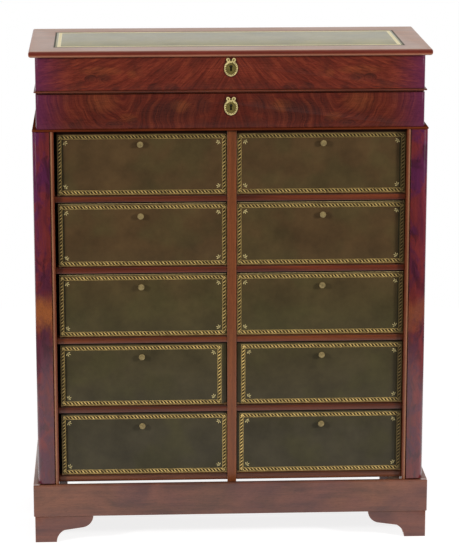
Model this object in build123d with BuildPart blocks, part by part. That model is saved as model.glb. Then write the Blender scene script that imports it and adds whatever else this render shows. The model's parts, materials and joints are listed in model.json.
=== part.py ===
from build123d import *
import math
import os

# Mahogany filing chest: two frieze drawers over two columns of drop-front filing boxes.
# Millimetres. X runs to the viewer's right, Y to the back and Z up.
# The origin is on the floor, under the middle of the top.

# Overall sizes
lower_width = 992.0  # over the two stiles
top_depth = 435.0
row_count = 5
column_sides = {"left": -1, "right": 1}
turned_flats = 12  # flats that the small turned pegs and knobs are drawn with

# Clearances
glue_line = 0.1  # between boards that are glued together
running_gap = 0.3  # between pieces that swing past each other
pin_clearance = 0.1  # round a turning pin
cut_overrun = 5.0  # how far a cutter runs past the face that it opens

# Steps of the outline, from the stiles outwards and inwards
side_reveal = 3.0  # case sides behind the stiles' outer faces
tier_step = 10.0  # drawer tiers inside the stiles' outer faces
top_overhang = 15.0  # top beyond the drawer tiers
bead_overhang = 4.0  # divider bead beyond the drawer tiers
back_overhang = 15.0  # top behind the plinth

# Setbacks of the front, behind the top's front edge and behind one another
plinth_setback = 13.0
lip_setback = 17.0
stile_setback = 19.0
drawer_setback = 22.0
strip_setback = 2.0  # fillet strip behind the stiles
center_stile_setback = 14.0  # centre stile behind the side stiles
shelf_setback = 2.0  # shelves behind the centre stile
flap_setback = 5.0  # box fronts behind the shelves

# Base
foot_height = 70.5
foot_board = 20.0
foot_setback = 3.0
bracket_length = 150.0
bracket_pad = 55.0
bracket_throat = 20.0
bracket_shoulder = 32.0
bracket_arm_rise = 7.0
bracket_brow = 26.0
rear_pad = 77.0
block_size = 36.0
block_lift = 4.0
plinth_height = 84.0
plinth_board = 14.0
plinth_side_board = 16.0
plinth_round = 3.0

# Case
shelf_thickness = 16.0
slit_height = 2.5  # open slit between the plinth and the lowest shelf
bay_height = 167.5
stile_width = 43.0
stile_thickness = 22.0
stile_round = 14.0
stile_inner_round = 2.0
stile_foot_gap = 2.5
stile_head_gap = 1.0
strip_width = 8.8
strip_round = 2.0
post_depth = 36.0
rear_post_depth = 26.0
side_panel_thickness = 12.0
back_board_thickness = 10.0
back_board_count = 6
center_stile_width = 22.6
center_stile_thickness = 12.0
center_stile_foot = 12.0  # centre stile down behind the plinth
partition_shift = 3.0  # centre partition to the right of the middle

# Stile pivots
pivot_inset = 8.0  # pivot axis from the stile's outer and rear faces
pivot_radius = 3.0
pivot_collar_radius = 5.5
pivot_seat = 12.0  # length held in the glue block
pivot_head_seat = 4.0  # length held in the waist board
pivot_reach = 10.0  # length inside the stile
pivot_end_gap = 0.5

# Drawer tiers
lip_thickness = 5.0
lip_round = 2.0
slab_rise = 11.0  # waist slab above its lip
lower_front_height = 86.5
upper_front_height = 84.0
front_foot_gap = 0.8
front_head_gap = 1.0
divider_recess_height = 4.5
divider_recess_setback = 7.0
bead_thickness = 4.0
bead_round = 1.6
divider_rise = 7.5  # divider slab above its bead
tier_side_thickness = 20.0
drawer_front_thickness = 22.0
drawer_front_round = 10.0
drawer_stop_gap = 0.5
drawer_side_thickness = 12.0
drawer_side_gap = 1.0
drawer_side_drop = 6.0  # drawer sides below the top of their front
drawer_bottom_thickness = 7.0
drawer_bottom_lift = 4.0
drawer_rear_gap = 16.0
tongue_depth = 8.0  # dovetailed tongue of a drawer side, let into the front
tongue_root = 7.0
tongue_end = 11.0

# Locks and escutcheons
lock_width = 56.0
lock_height = 42.0
lock_depth = 11.0
lock_fit = 0.2
bolt_width = 26.0
bolt_thickness = 4.0
bolt_height = 24.0
bolt_play = 0.3
bolt_throw = 6.0
mortise_spare = 2.0  # round a thrown bolt
keyhole_radius = 4.0
keyhole_slot_width = 3.4
keyhole_foot_width = 6.8
keyhole_slot_length = 11.5
drill_pin_radius = 1.2
drill_pin_length = 9.0
upper_keyhole_drop = 26.0  # below the top of its drawer front
lower_keyhole_drop = 29.5
plate_width = 34.0
plate_height = 39.0
plate_drop = 5.5  # middle of the plate below the keyhole
plate_thickness = 1.4
plate_rim_width = 3.2
plate_rim_height = 1.4
bow_radius = 5.2
bow_hole_radius = 2.4
bow_offset = 6.2
bow_rise = 17.0  # bow loops above the keyhole

# Top
top_thickness = 16.0
top_upper_round = 5.0
top_lower_round = 7.0
leather_side_margin = 61.0
leather_front_margin = 75.0
leather_thickness = 1.2
leather_sink = 0.3
leather_gap = 0.3

# Filing boxes
box_side_gap = 1.6
flap_thickness = 8.0
flap_lift = 0.6
flap_head_gap = 2.9
flap_rest_gap = 0.2
hinge_inset = 2.4  # hinge axis from the flap's front and lower faces
trunnion_radius = 1.0
trunnion_end_gap = 0.3
tray_board = 6.0
tray_bottom = 8.0
tray_headroom = 17.5
tray_rear_gap = 26.0
knob_drop = 33.0  # below the flap's upper edge
knob_shift = 4.5  # outward of the flap's middle
knob_radius = 8.0
knob_rose_radius = 5.2
knob_rose_thickness = 1.4
knob_neck_radius = 3.2
knob_neck_length = 3.6
knob_head_length = 7.0
knob_crown = 3.6
knob_heel = 2.2

# Planes across the chest
lower_half = lower_width / 2
case_half = lower_half - side_reveal
tier_half = lower_half - tier_step
tier_inner = tier_half - tier_side_thickness
top_half = tier_half + top_overhang
bead_half = tier_half + bead_overhang
plinth_half = case_half + plinth_side_board
foot_half = plinth_half - foot_setback
panel_inner = case_half - side_panel_thickness
partition_left = partition_shift - center_stile_width / 2
partition_right = partition_shift + center_stile_width / 2
pivot_x = lower_half - pivot_inset
stile_inner = lower_half - stile_width
stile_swing = math.hypot(stile_width - pivot_inset, pivot_inset)
strip_outer = pivot_x - stile_swing - running_gap
bay_outer = strip_outer - strip_width

# Planes from front to back
top_front = -top_depth / 2
top_back = top_depth / 2
plinth_front = top_front + plinth_setback
plinth_inside = plinth_front + plinth_board
foot_front = plinth_front + foot_setback
lip_front = top_front + lip_setback
stile_front = top_front + stile_setback
stile_back = stile_front + stile_thickness
pivot_y = stile_back - pivot_inset
strip_front = stile_front + strip_setback
post_front = stile_back + running_gap
post_back = post_front + post_depth
front_face = top_front + drawer_setback
front_back = front_face + drawer_front_thickness
box_front = front_back + glue_line
case_front = front_back + drawer_stop_gap
divider_front = front_face + divider_recess_setback
center_stile_front = stile_front + center_stile_setback
center_stile_back = center_stile_front + center_stile_thickness
shelf_front = center_stile_front + shelf_setback
flap_front = shelf_front + flap_setback
flap_back = flap_front + flap_thickness
case_back = top_back - back_overhang
rear_plane = case_back - plinth_board
rear_post_front = rear_plane - rear_post_depth
tray_front = flap_back + flap_rest_gap
tray_back = rear_plane - tray_rear_gap
drawer_back = rear_plane - drawer_rear_gap
lock_front = front_back - lock_depth
bolt_y = (lock_front + front_back) / 2

# Levels from the floor up
plinth_top = foot_height + plinth_height
shelf_pitch = bay_height + shelf_thickness
lowest_shelf_under = plinth_top + slit_height
lowest_shelf_top = lowest_shelf_under + shelf_thickness
waist_under = lowest_shelf_under + row_count * shelf_pitch
lip_top = waist_under + lip_thickness
slab_top = lip_top + slab_rise
lower_front_bottom = lip_top + front_foot_gap
lower_front_top = lower_front_bottom + lower_front_height
divider_under = lower_front_top + front_head_gap
bead_under = divider_under + divider_recess_height
bead_top = bead_under + bead_thickness
divider_top = bead_top + divider_rise
upper_front_bottom = bead_top + front_foot_gap
upper_front_top = upper_front_bottom + upper_front_height
top_under = upper_front_top + front_head_gap
top_upper = top_under + top_thickness
stile_bottom = plinth_top + stile_foot_gap
stile_top = waist_under - stile_head_gap

# Filing box sizes that follow from the narrower bay; both columns stand close to the partition
box_width = bay_outer - partition_right - 2 * box_side_gap
box_middles = {
    "left": partition_left - box_side_gap - box_width / 2,
    "right": partition_right + box_side_gap + box_width / 2,
}
flap_height = bay_height - flap_lift - flap_head_gap
tray_height = bay_height - tray_headroom
hinge_y = flap_front + hinge_inset
hinge_lift = flap_lift + hinge_inset
flap_swing = math.hypot(flap_thickness - hinge_inset, hinge_inset)
ear_swing = math.hypot(hinge_inset, hinge_inset)


def centered(size):
    """The two faces of a piece that is centred on X or Y."""
    return (-size / 2, size / 2)


def around(middle, size):
    """The two faces of a piece that is centred on a plane."""
    return (middle - size / 2, middle + size / 2)


def on_side(side, inner, outer):
    """The two faces, low first, of a piece on the left (-1) or right (1) of the middle."""
    return tuple(sorted((side * inner, side * outer)))


def board(x_faces, y_faces, z_faces, mode=Mode.ADD):
    """A squared board between three pairs of faces, in the part that is being built."""
    low = Vector(x_faces[0], y_faces[0], z_faces[0])
    high = Vector(x_faces[1], y_faces[1], z_faces[1])
    size = high - low
    with Locations((low + high) / 2):
        Box(size.X, size.Y, size.Z, mode=mode)


def rod(center, turn, radius, length, mode=Mode.ADD):
    """A round rod that starts at a point; the turn says which way its upright axis is tipped."""
    with Locations(Location(center, turn)):
        Cylinder(radius, length, align=(Align.CENTER, Align.CENTER, Align.MIN), mode=mode)


def peg(start, direction, radius, length):
    """A small turned peg, drawn with flats inside its radius."""
    with BuildSketch(Plane(start, x_dir=(0, 1, 0), z_dir=direction)) as end:
        RegularPolygon(radius, turned_flats)
    extrude(end.sketch, amount=length)


def peg_hole(start, direction, radius, length):
    """The hole of a peg, drawn with flats outside its radius."""
    with BuildSketch(Plane(start, x_dir=(0, 1, 0), z_dir=direction)) as mouth:
        RegularPolygon(radius, turned_flats, major_radius=False)
    extrude(mouth.sketch, amount=length, mode=Mode.SUBTRACT)


def save(builder, name):
    """Labels a finished piece and writes it under its own name."""
    builder.part.label = name
    export_step(builder.part, f"parts/{name}.step")


def cut_bolt_mortise(under):
    """Mortise in the underside of a board, for the bolt that is thrown into it."""
    board(
        centered(bolt_width + 2 * mortise_spare),
        around(bolt_y, bolt_thickness + 2 * mortise_spare),
        (under - cut_overrun, under + bolt_throw + mortise_spare),
        mode=Mode.SUBTRACT,
    )


def keyhole_face(keyhole_z):
    """The round eye of a keyhole and the slot that widens below it, drawn on a drawer's front."""
    foot_z = keyhole_z - keyhole_slot_length
    with BuildSketch(Plane.XZ.offset(-front_face)) as keyhole:
        with Locations((0, keyhole_z)):
            Circle(keyhole_radius)
        with BuildLine():
            Polyline(
                (-keyhole_slot_width / 2, keyhole_z),
                (-keyhole_foot_width / 2, foot_z),
                (keyhole_foot_width / 2, foot_z),
                (keyhole_slot_width / 2, keyhole_z),
                close=True,
            )
        make_face()
    return keyhole.sketch


def tongue(middle_x, low, high, spare=0, mode=Mode.ADD):
    """Dovetailed tongue on the front end of a drawer side, or its groove, grown by a clearance."""
    root = tongue_root / 2 + spare
    end = tongue_end / 2 + spare
    tip = front_back - tongue_depth - spare
    with BuildSketch(Plane.XY.offset(low)) as plan:
        with BuildLine():
            Polyline(
                (middle_x - root, box_front),
                (middle_x - end, tip),
                (middle_x + end, tip),
                (middle_x + root, box_front),
                close=True,
            )
        make_face()
    extrude(plan.sketch, amount=high - low, mode=mode)


def bracket(corner, run, into):
    """One bracket of a foot: it starts at a corner, follows run and is foot_board thick along into."""
    throat_end = (bracket_pad + bracket_throat, bracket_shoulder)
    arm_end = (bracket_length - bracket_brow, bracket_shoulder + bracket_arm_rise)
    brow_rise = foot_height - arm_end[1]
    # Both curves stand upright where they meet the floor and the plinth
    throat_radius = (bracket_throat**2 + bracket_shoulder**2) / (2 * bracket_throat)
    brow_radius = (bracket_brow**2 + brow_rise**2) / (2 * bracket_brow)
    with BuildPart() as plate:
        with BuildSketch(Plane(corner, x_dir=run, z_dir=Vector(run).cross(Vector(0, 0, 1)))):
            with BuildLine():
                pad = Line((0, 0), (bracket_pad, 0))
                throat = RadiusArc(pad @ 1, throat_end, throat_radius)
                arm = Line(throat @ 1, arm_end)
                brow = RadiusArc(arm @ 1, (bracket_length, foot_height), -brow_radius)
                Polyline(brow @ 1, (0, foot_height), (0, 0))
            make_face()
        extrude(amount=foot_board, dir=into)
    return plate.part


os.makedirs("parts", exist_ok=True)

# Top board with a rounded edge, a sunk bed for its leather and a mortise for the upper lock
leather_half_x = top_half - leather_side_margin
leather_half_y = top_depth / 2 - leather_front_margin
bed_floor = top_upper - leather_sink - leather_thickness
with BuildPart() as top_board:
    board((-top_half, top_half), (top_front, top_back), (top_under, top_upper))
    fillet(top_board.faces().sort_by(Axis.Z)[-1].edges(), top_upper_round)
    fillet(top_board.faces().sort_by(Axis.Z)[0].edges(), top_lower_round)
    board(
        (-leather_half_x, leather_half_x),
        (-leather_half_y, leather_half_y),
        (bed_floor, top_upper + cut_overrun),
        mode=Mode.SUBTRACT,
    )
    cut_bolt_mortise(top_under)
save(top_board, "top_board")

with BuildPart() as top_leather:
    board(
        (leather_gap - leather_half_x, leather_half_x - leather_gap),
        (leather_gap - leather_half_y, leather_half_y - leather_gap),
        (bed_floor, bed_floor + leather_thickness),
    )
save(top_leather, "top_leather")

# Front posts, each with the fillet strip that shows beside its stile
with BuildPart() as front_posts:
    for side in column_sides.values():
        board(
            on_side(side, bay_outer, strip_outer),
            (strip_front, post_front - glue_line),
            (plinth_top, waist_under),
        )
    fillet(front_posts.edges().filter_by(Axis.Z).group_by(Axis.Y)[0], strip_round)
    for side in column_sides.values():
        board(
            on_side(side, bay_outer, case_half),
            (post_front, post_back),
            (foot_height, waist_under),
        )
save(front_posts, "front_posts")

with BuildPart() as rear_posts:
    for side in column_sides.values():
        board(
            on_side(side, bay_outer, case_half),
            (rear_post_front, rear_plane),
            (foot_height, waist_under),
        )
save(rear_posts, "rear_posts")

with BuildPart() as side_panels:
    for side in column_sides.values():
        board(
            on_side(side, panel_inner, case_half),
            (post_back, rear_post_front),
            (foot_height, waist_under),
        )
save(side_panels, "side_panels")

# Back: upright boards behind the filing boxes, one board behind each drawer
back_board_width = 2 * case_half / back_board_count
with BuildPart() as back_boards:
    for index in range(back_board_count):
        left_edge = index * back_board_width - case_half
        board(
            (left_edge, left_edge + back_board_width - glue_line),
            (rear_plane, rear_plane + back_board_thickness),
            (lowest_shelf_under, waist_under),
        )
    for tier_low, tier_high in ((lip_top, bead_under), (bead_top, top_under)):
        board(
            (-tier_half, tier_half),
            (rear_plane, rear_plane + back_board_thickness),
            (tier_low, tier_high),
        )
save(back_boards, "back_boards")

with BuildPart() as center_partition:
    board(
        (partition_left, partition_right),
        (center_stile_back, rear_plane),
        (lowest_shelf_under, waist_under),
    )
save(center_partition, "center_partition")

with BuildPart() as center_stile:
    board(
        (partition_left, partition_right),
        (center_stile_front, center_stile_back),
        (plinth_top - center_stile_foot, waist_under),
    )
save(center_stile, "center_stile")

# Shelves, notched round the posts, one on each side of the partition at every level
with BuildPart() as shelves:
    for level in range(row_count):
        with BuildSketch(Plane.XY.offset(lowest_shelf_under + level * shelf_pitch)):
            for side, inner in ((-1, partition_left), (1, partition_right)):
                with BuildLine():
                    Polyline(
                        (inner, shelf_front),
                        (side * bay_outer, shelf_front),
                        (side * bay_outer, post_back),
                        (side * panel_inner, post_back),
                        (side * panel_inner, rear_post_front),
                        (side * bay_outer, rear_post_front),
                        (side * bay_outer, rear_plane),
                        (inner, rear_plane),
                        close=True,
                    )
                make_face()
        extrude(amount=shelf_thickness)
save(shelves, "shelves")

# Waist: a wide plate whose rounded edge is the lip, and the slab that the lower drawer runs on
with BuildPart() as waist_board:
    board((-lower_half, lower_half), (lip_front, case_back), (waist_under, lip_top))
    front_edges = waist_board.edges().filter_by(Axis.X).group_by(Axis.Y)[0]
    fillet(front_edges + waist_board.edges().filter_by(Axis.Y), lip_round)
    for side in column_sides.values():
        rod(
            (side * pivot_x, pivot_y, waist_under),
            (0, 0, 0),
            pivot_radius,
            pivot_head_seat,
            mode=Mode.SUBTRACT,
        )
    board((-tier_inner, tier_inner), (case_front, rear_plane), (lip_top + glue_line, slab_top))
save(waist_board, "waist_board")

# Divider: a shadow rail, the plate whose rounded edge is the bead, and the upper drawer's slab
with BuildPart() as drawer_divider:
    board((-bead_half, bead_half), (lip_front, case_back), (bead_under, bead_top))
    front_edges = drawer_divider.edges().filter_by(Axis.X).group_by(Axis.Y)[0]
    fillet(front_edges + drawer_divider.edges().filter_by(Axis.Y), bead_round)
    board(
        (-tier_inner, tier_inner),
        (divider_front, rear_plane),
        (divider_under, bead_under - glue_line),
    )
    cut_bolt_mortise(divider_under)
    board((-tier_inner, tier_inner), (case_front, rear_plane), (bead_top + glue_line, divider_top))
save(drawer_divider, "drawer_divider")

with BuildPart() as tier_sides:
    for side in column_sides.values():
        for tier_low, tier_high in ((lip_top, bead_under), (bead_top, top_under)):
            board(
                on_side(side, tier_inner, tier_half),
                (case_front, rear_plane),
                (tier_low, tier_high),
            )
save(tier_sides, "tier_sides")

# Plinth boards round the foot of the case
with BuildPart() as plinth:
    board((-plinth_half, plinth_half), (plinth_front, plinth_inside), (foot_height, plinth_top))
    fillet(plinth.edges().filter_by(Axis.X).group_by(Axis.Y)[0].sort_by(Axis.Z)[-1], plinth_round)
    fillet(plinth.edges().filter_by(Axis.Z).group_by(Axis.Y)[0], plinth_round)
    for side in column_sides.values():
        board(
            on_side(side, case_half, plinth_half),
            (plinth_inside + glue_line, case_back),
            (foot_height, plinth_top),
        )
    board(
        (glue_line - case_half, case_half - glue_line),
        (rear_plane, case_back),
        (foot_height, plinth_top),
    )
save(plinth, "plinth")

# Bracket feet: a shaped front and side at the front, a shaped side and a plain back at the rear
foot_back = case_back - foot_setback
foot_inner = foot_half - foot_board
front_brackets = []
front_side_brackets = []
rear_side_brackets = []
for side in column_sides.values():
    front_corner = (side * foot_half, foot_front, 0)
    rear_corner = (side * foot_half, foot_back, 0)
    front_brackets.append(bracket(front_corner, (-side, 0, 0), (0, 1, 0)))
    front_side_brackets.append(bracket(front_corner, (0, 1, 0), (-side, 0, 0)))
    rear_side_brackets.append(bracket(rear_corner, (0, -1, 0), (-side, 0, 0)))

with BuildPart() as front_feet:
    add(front_side_brackets)
    for side in column_sides.values():
        board(
            on_side(side, foot_inner, foot_half),
            (foot_front, foot_front + foot_board + glue_line),
            (0, foot_height),
            mode=Mode.SUBTRACT,
        )
    add(front_brackets)
save(front_feet, "front_feet")

with BuildPart() as rear_feet:
    add(rear_side_brackets)
    for side in column_sides.values():
        board(
            on_side(side, foot_inner, foot_half),
            (foot_back - foot_board - glue_line, foot_back),
            (0, foot_height),
            mode=Mode.SUBTRACT,
        )
        board(
            on_side(side, foot_half - rear_pad, foot_half),
            (foot_back - foot_board, foot_back),
            (0, foot_height),
        )
save(rear_feet, "rear_feet")

# Glue blocks inside the feet, and the ones behind the plinth that hold the stiles' lower pivots
block_front = foot_front + foot_board
block_back = foot_back - foot_board
with BuildPart() as corner_blocks:
    for side in column_sides.values():
        board(
            on_side(side, bay_outer, case_half),
            (plinth_inside, post_front - glue_line),
            (foot_height, plinth_top),
        )
        for y_faces in (
            (block_front, block_front + block_size),
            (block_back - block_size, block_back),
        ):
            board(
                on_side(side, foot_inner - block_size, foot_inner),
                y_faces,
                (block_lift, foot_height - glue_line),
            )
        rod(
            (side * pivot_x, pivot_y, plinth_top - pivot_seat),
            (0, 0, 0),
            pivot_radius,
            pivot_seat + cut_overrun,
            mode=Mode.SUBTRACT,
        )
save(corner_blocks, "corner_blocks")

# Pivot pins of the stiles: the lower ones carry the stile on a collar
with BuildPart() as stile_pivots:
    for side in column_sides.values():
        rod(
            (side * pivot_x, pivot_y, plinth_top - pivot_seat),
            (0, 0, 0),
            pivot_radius,
            pivot_seat + stile_foot_gap + pivot_reach,
        )
        rod((side * pivot_x, pivot_y, plinth_top), (0, 0, 0), pivot_collar_radius, stile_foot_gap)
        rod(
            (side * pivot_x, pivot_y, stile_top - pivot_reach),
            (0, 0, 0),
            pivot_radius,
            pivot_reach + stile_head_gap + pivot_head_seat,
        )
save(stile_pivots, "stile_pivots")

# Stiles: rounded outer front corner, and a rear corner rounded about the pivot so that it can turn
for side_name, side in column_sides.items():
    with BuildPart() as stile:
        with BuildSketch(Plane.XY.offset(stile_bottom)) as section:
            middle_x = side * (stile_inner + lower_half) / 2
            with Locations((middle_x, (stile_front + stile_back) / 2)):
                Rectangle(stile_width, stile_thickness)
            for row, end, radius in (
                (0, 1, stile_round),
                (0, 0, stile_inner_round),
                (-1, 1, pivot_inset),
            ):
                corners = section.vertices().group_by(Axis.Y)[row]
                corners = sorted(corners, key=lambda corner: side * corner.X)
                fillet(corners[-end], radius)
        extrude(amount=stile_top - stile_bottom)
        hole_depth = pivot_reach + pivot_end_gap
        for hole_start in (stile_bottom, stile_top - hole_depth):
            rod(
                (side * pivot_x, pivot_y, hole_start),
                (0, 0, 0),
                pivot_radius + pin_clearance,
                hole_depth,
                mode=Mode.SUBTRACT,
            )
    save(stile, f"{side_name}_stile")


def make_drawer(tier, front_bottom, front_top, runner_top, keyhole_z):
    """One frieze drawer: its front, box, lock, lock bolt and escutcheon."""
    outer = tier_inner - drawer_side_gap
    inner = outer - drawer_side_thickness
    side_middle = (inner + outer) / 2
    side_top = front_top - drawer_side_drop
    inside_back = drawer_back - drawer_side_thickness
    bottom_under = runner_top + drawer_bottom_lift
    keyhole = keyhole_face(keyhole_z)

    with BuildPart() as front:
        board((-tier_half, tier_half), (front_face, front_back), (front_bottom, front_top))
        fillet(front.edges().filter_by(Axis.Z).group_by(Axis.Y)[0], drawer_front_round)
        board(
            centered(lock_width + 2 * lock_fit),
            (lock_front, front_back + cut_overrun),
            (front_top - lock_height - lock_fit, front_top + cut_overrun),
            mode=Mode.SUBTRACT,
        )
        extrude(keyhole, amount=-drawer_front_thickness, mode=Mode.SUBTRACT)
        for side in column_sides.values():
            tongue(side * side_middle, front_bottom, side_top, spare=glue_line, mode=Mode.SUBTRACT)
    save(front, f"{tier}_drawer_front")

    with BuildPart() as box:
        for side in column_sides.values():
            board(on_side(side, inner, outer), (box_front, drawer_back), (runner_top, side_top))
            tongue(side * side_middle, runner_top, side_top)
        inside = (glue_line - inner, inner - glue_line)
        board(inside, (inside_back, drawer_back), (runner_top, side_top))
        board(
            inside,
            (box_front, inside_back - glue_line),
            (bottom_under, bottom_under + drawer_bottom_thickness),
        )
    save(box, f"{tier}_drawer_box")

    with BuildPart() as lock:
        board(centered(lock_width), (lock_front, front_back), (front_top - lock_height, front_top))
        board(
            centered(bolt_width + 2 * bolt_play),
            around(bolt_y, bolt_thickness + 2 * bolt_play),
            (front_top - bolt_height, front_top + cut_overrun),
            mode=Mode.SUBTRACT,
        )
        rod((0, lock_front, keyhole_z), (90, 0, 0), drill_pin_radius, drill_pin_length)
    save(lock, f"{tier}_lock")

    with BuildPart() as bolt:
        board(
            centered(bolt_width),
            around(bolt_y, bolt_thickness),
            (front_top - bolt_height, front_top),
        )
    save(bolt, f"{tier}_lock_bolt")

    # Oval plate with a raised rim, and the two loops of a ribbon bow above it
    plate_middle = (0, keyhole_z - plate_drop)
    bow_places = [(end * bow_offset, keyhole_z + bow_rise) for end in column_sides.values()]
    with BuildPart() as plate:
        with BuildSketch(Plane.XZ.offset(-front_face)):
            with Locations(plate_middle):
                Ellipse(plate_width / 2, plate_height / 2)
            with Locations(*bow_places):
                Circle(bow_radius)
                Circle(bow_hole_radius, mode=Mode.SUBTRACT)
        extrude(amount=plate_thickness)
        extrude(keyhole, amount=plate_thickness, mode=Mode.SUBTRACT)
        with BuildSketch(Plane.XZ.offset(plate_thickness - front_face)):
            with Locations(plate_middle):
                Ellipse(plate_width / 2, plate_height / 2)
                Ellipse(
                    plate_width / 2 - plate_rim_width,
                    plate_height / 2 - plate_rim_width,
                    mode=Mode.SUBTRACT,
                )
        extrude(amount=plate_rim_height)
    save(plate, f"{tier}_escutcheon")


make_drawer(
    "lower", lower_front_bottom, lower_front_top, slab_top, lower_front_top - lower_keyhole_drop
)
make_drawer(
    "upper", upper_front_bottom, upper_front_top, divider_top, upper_front_top - upper_keyhole_drop
)


# Knob of a box front: a mushroom head on a neck and a small rose, along the Y axis
neck_end = knob_rose_thickness + knob_neck_length
with BuildPart() as knob_form:
    with BuildSketch(Plane.XZ.offset(neck_end)):
        RegularPolygon(knob_radius, turned_flats)
    extrude(amount=knob_head_length)
    chamfer(knob_form.faces().sort_by(Axis.Y)[0].edges(), knob_crown)
    chamfer(knob_form.faces().sort_by(Axis.Y)[-1].edges(), knob_heel)
    for near, length, radius in (
        (0, knob_rose_thickness, knob_rose_radius),
        (knob_rose_thickness, knob_neck_length, knob_neck_radius),
    ):
        with BuildSketch(Plane.XZ.offset(near)):
            RegularPolygon(radius, turned_flats)
        extrude(amount=length)


def make_filing_box(name, middle_x, knob_x, floor_z):
    """One filing box: a tray, the drop front that turns on its two ears, and the front's knob."""
    half = box_width / 2
    ear_inner = half - tray_board
    hinge_z = floor_z + hinge_lift
    tray_top = floor_z + tray_height
    inside_back = tray_back - tray_board

    def across(side, inner, outer):
        """The two faces of a piece on one side of the box's middle."""
        return tuple(sorted((middle_x + side * inner, middle_x + side * outer)))

    with BuildPart() as tray:
        for side in column_sides.values():
            side_faces = across(side, ear_inner, half)
            board(side_faces, (tray_front, tray_back), (floor_z, tray_top))
            board(side_faces, (flap_front, tray_front), around(hinge_z, 2 * hinge_inset))
            peg_hole(
                (side_faces[0], hinge_y, hinge_z),
                (1, 0, 0),
                trunnion_radius + pin_clearance,
                tray_board,
            )
        inside = (middle_x - ear_inner + glue_line, middle_x + ear_inner - glue_line)
        board(inside, (inside_back, tray_back), (floor_z, tray_top))
        board(
            inside,
            (hinge_y + flap_swing + running_gap, inside_back - glue_line),
            (floor_z, floor_z + tray_bottom),
        )
    save(tray, f"{name}_tray")

    flap_bottom = floor_z + flap_lift
    flap_top = flap_bottom + flap_height
    notch_inner = ear_inner - running_gap
    with BuildPart() as flap:
        board((middle_x - half, middle_x + half), (flap_front, flap_back), (flap_bottom, flap_top))
        fillet(flap.edges().filter_by(Axis.X).group_by(Axis.Y)[0].sort_by(Axis.Z)[0], hinge_inset)
        for side in column_sides.values():
            board(
                across(side, notch_inner, half + cut_overrun),
                (flap_front - cut_overrun, flap_back + cut_overrun),
                (flap_bottom - cut_overrun, hinge_z + ear_swing + running_gap),
                mode=Mode.SUBTRACT,
            )
            peg(
                (middle_x + side * notch_inner, hinge_y, hinge_z),
                (side, 0, 0),
                trunnion_radius,
                half - notch_inner - trunnion_end_gap,
            )
    save(flap, f"{name}_flap")

    with BuildPart() as knob:
        with Locations((knob_x, flap_front, flap_top - knob_drop)):
            add(knob_form.part)
    save(knob, f"{name}_knob")


# Rows are numbered from the top down
for side_name, side in column_sides.items():
    box_middle = box_middles[side_name]
    knob_middle = box_middle + side * knob_shift
    for row in range(row_count):
        shelf_top = lowest_shelf_top + (row_count - 1 - row) * shelf_pitch
        make_filing_box(f"carton_{side_name}_{row + 1}", box_middle, knob_middle, shelf_top)
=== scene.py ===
"""Dresses a mahogany filing chest: polished woods, tooled leather, gilt mounts and a studio stage."""

import json
import math

import bmesh
import bpy
from bpy.props import FloatProperty, FloatVectorProperty, IntProperty, PointerProperty
from mathutils import Matrix, Vector


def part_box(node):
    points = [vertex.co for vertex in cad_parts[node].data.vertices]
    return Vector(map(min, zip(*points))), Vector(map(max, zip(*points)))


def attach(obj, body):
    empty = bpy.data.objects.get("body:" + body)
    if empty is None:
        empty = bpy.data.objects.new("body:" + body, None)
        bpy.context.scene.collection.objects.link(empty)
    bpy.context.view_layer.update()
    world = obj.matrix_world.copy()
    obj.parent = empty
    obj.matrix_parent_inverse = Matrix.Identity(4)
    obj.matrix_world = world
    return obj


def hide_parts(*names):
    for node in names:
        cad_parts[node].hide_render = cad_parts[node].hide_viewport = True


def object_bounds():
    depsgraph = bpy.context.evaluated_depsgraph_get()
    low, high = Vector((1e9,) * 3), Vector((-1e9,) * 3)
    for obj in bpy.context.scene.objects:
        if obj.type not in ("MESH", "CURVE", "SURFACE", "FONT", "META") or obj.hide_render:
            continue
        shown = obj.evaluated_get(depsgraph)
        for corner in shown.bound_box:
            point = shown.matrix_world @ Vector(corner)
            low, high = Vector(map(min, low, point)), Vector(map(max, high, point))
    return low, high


bl_info = {
    "name": "Filing chest",
    "version": (1, 0, 0),
    "blender": (4, 5, 0),
    "location": "3D View > Sidebar > Chest",
    "description": "Finishes the filing chest over its CAD frame",
    "category": "Object",
}

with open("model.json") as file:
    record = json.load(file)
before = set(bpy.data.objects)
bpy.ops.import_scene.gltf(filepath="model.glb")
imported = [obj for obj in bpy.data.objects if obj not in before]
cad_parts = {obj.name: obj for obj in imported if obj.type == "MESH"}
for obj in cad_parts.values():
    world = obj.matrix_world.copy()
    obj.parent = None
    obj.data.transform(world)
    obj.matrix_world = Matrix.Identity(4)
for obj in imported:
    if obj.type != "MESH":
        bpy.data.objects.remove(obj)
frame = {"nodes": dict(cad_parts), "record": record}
cad_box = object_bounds()

MM = 0.001
SIDES = {"left": -1, "right": 1}
TIERS = ("upper", "lower")
# The filing boxes with their rows, counted from above
CARTONS = [(f"carton_{side}_{row}", row) for side in SIDES for row in range(1, 6)]


def srgb(red, green, blue):
    """A colour written in 0 to 255 display values, as the linear triple that shaders take."""
    linear = []
    for value in (red, green, blue):
        share = value / 255
        linear.append(share / 12.92 if share <= 0.04045 else ((share + 0.055) / 1.055) ** 2.4)
    return tuple(linear)


def colour_setting(name, description, default):
    """A colour that the user can change."""
    return FloatVectorProperty(
        name=name, description=description, subtype="COLOR", size=3, min=0, max=1, default=default
    )


def length_setting(name, description, default):
    """A length that the user can change, in metres."""
    return FloatProperty(name=name, description=description, unit="LENGTH", default=default)


def number_setting(name, description, default, subtype="NONE"):
    """A number that the user can change."""
    return FloatProperty(name=name, description=description, subtype=subtype, default=default)


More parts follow.
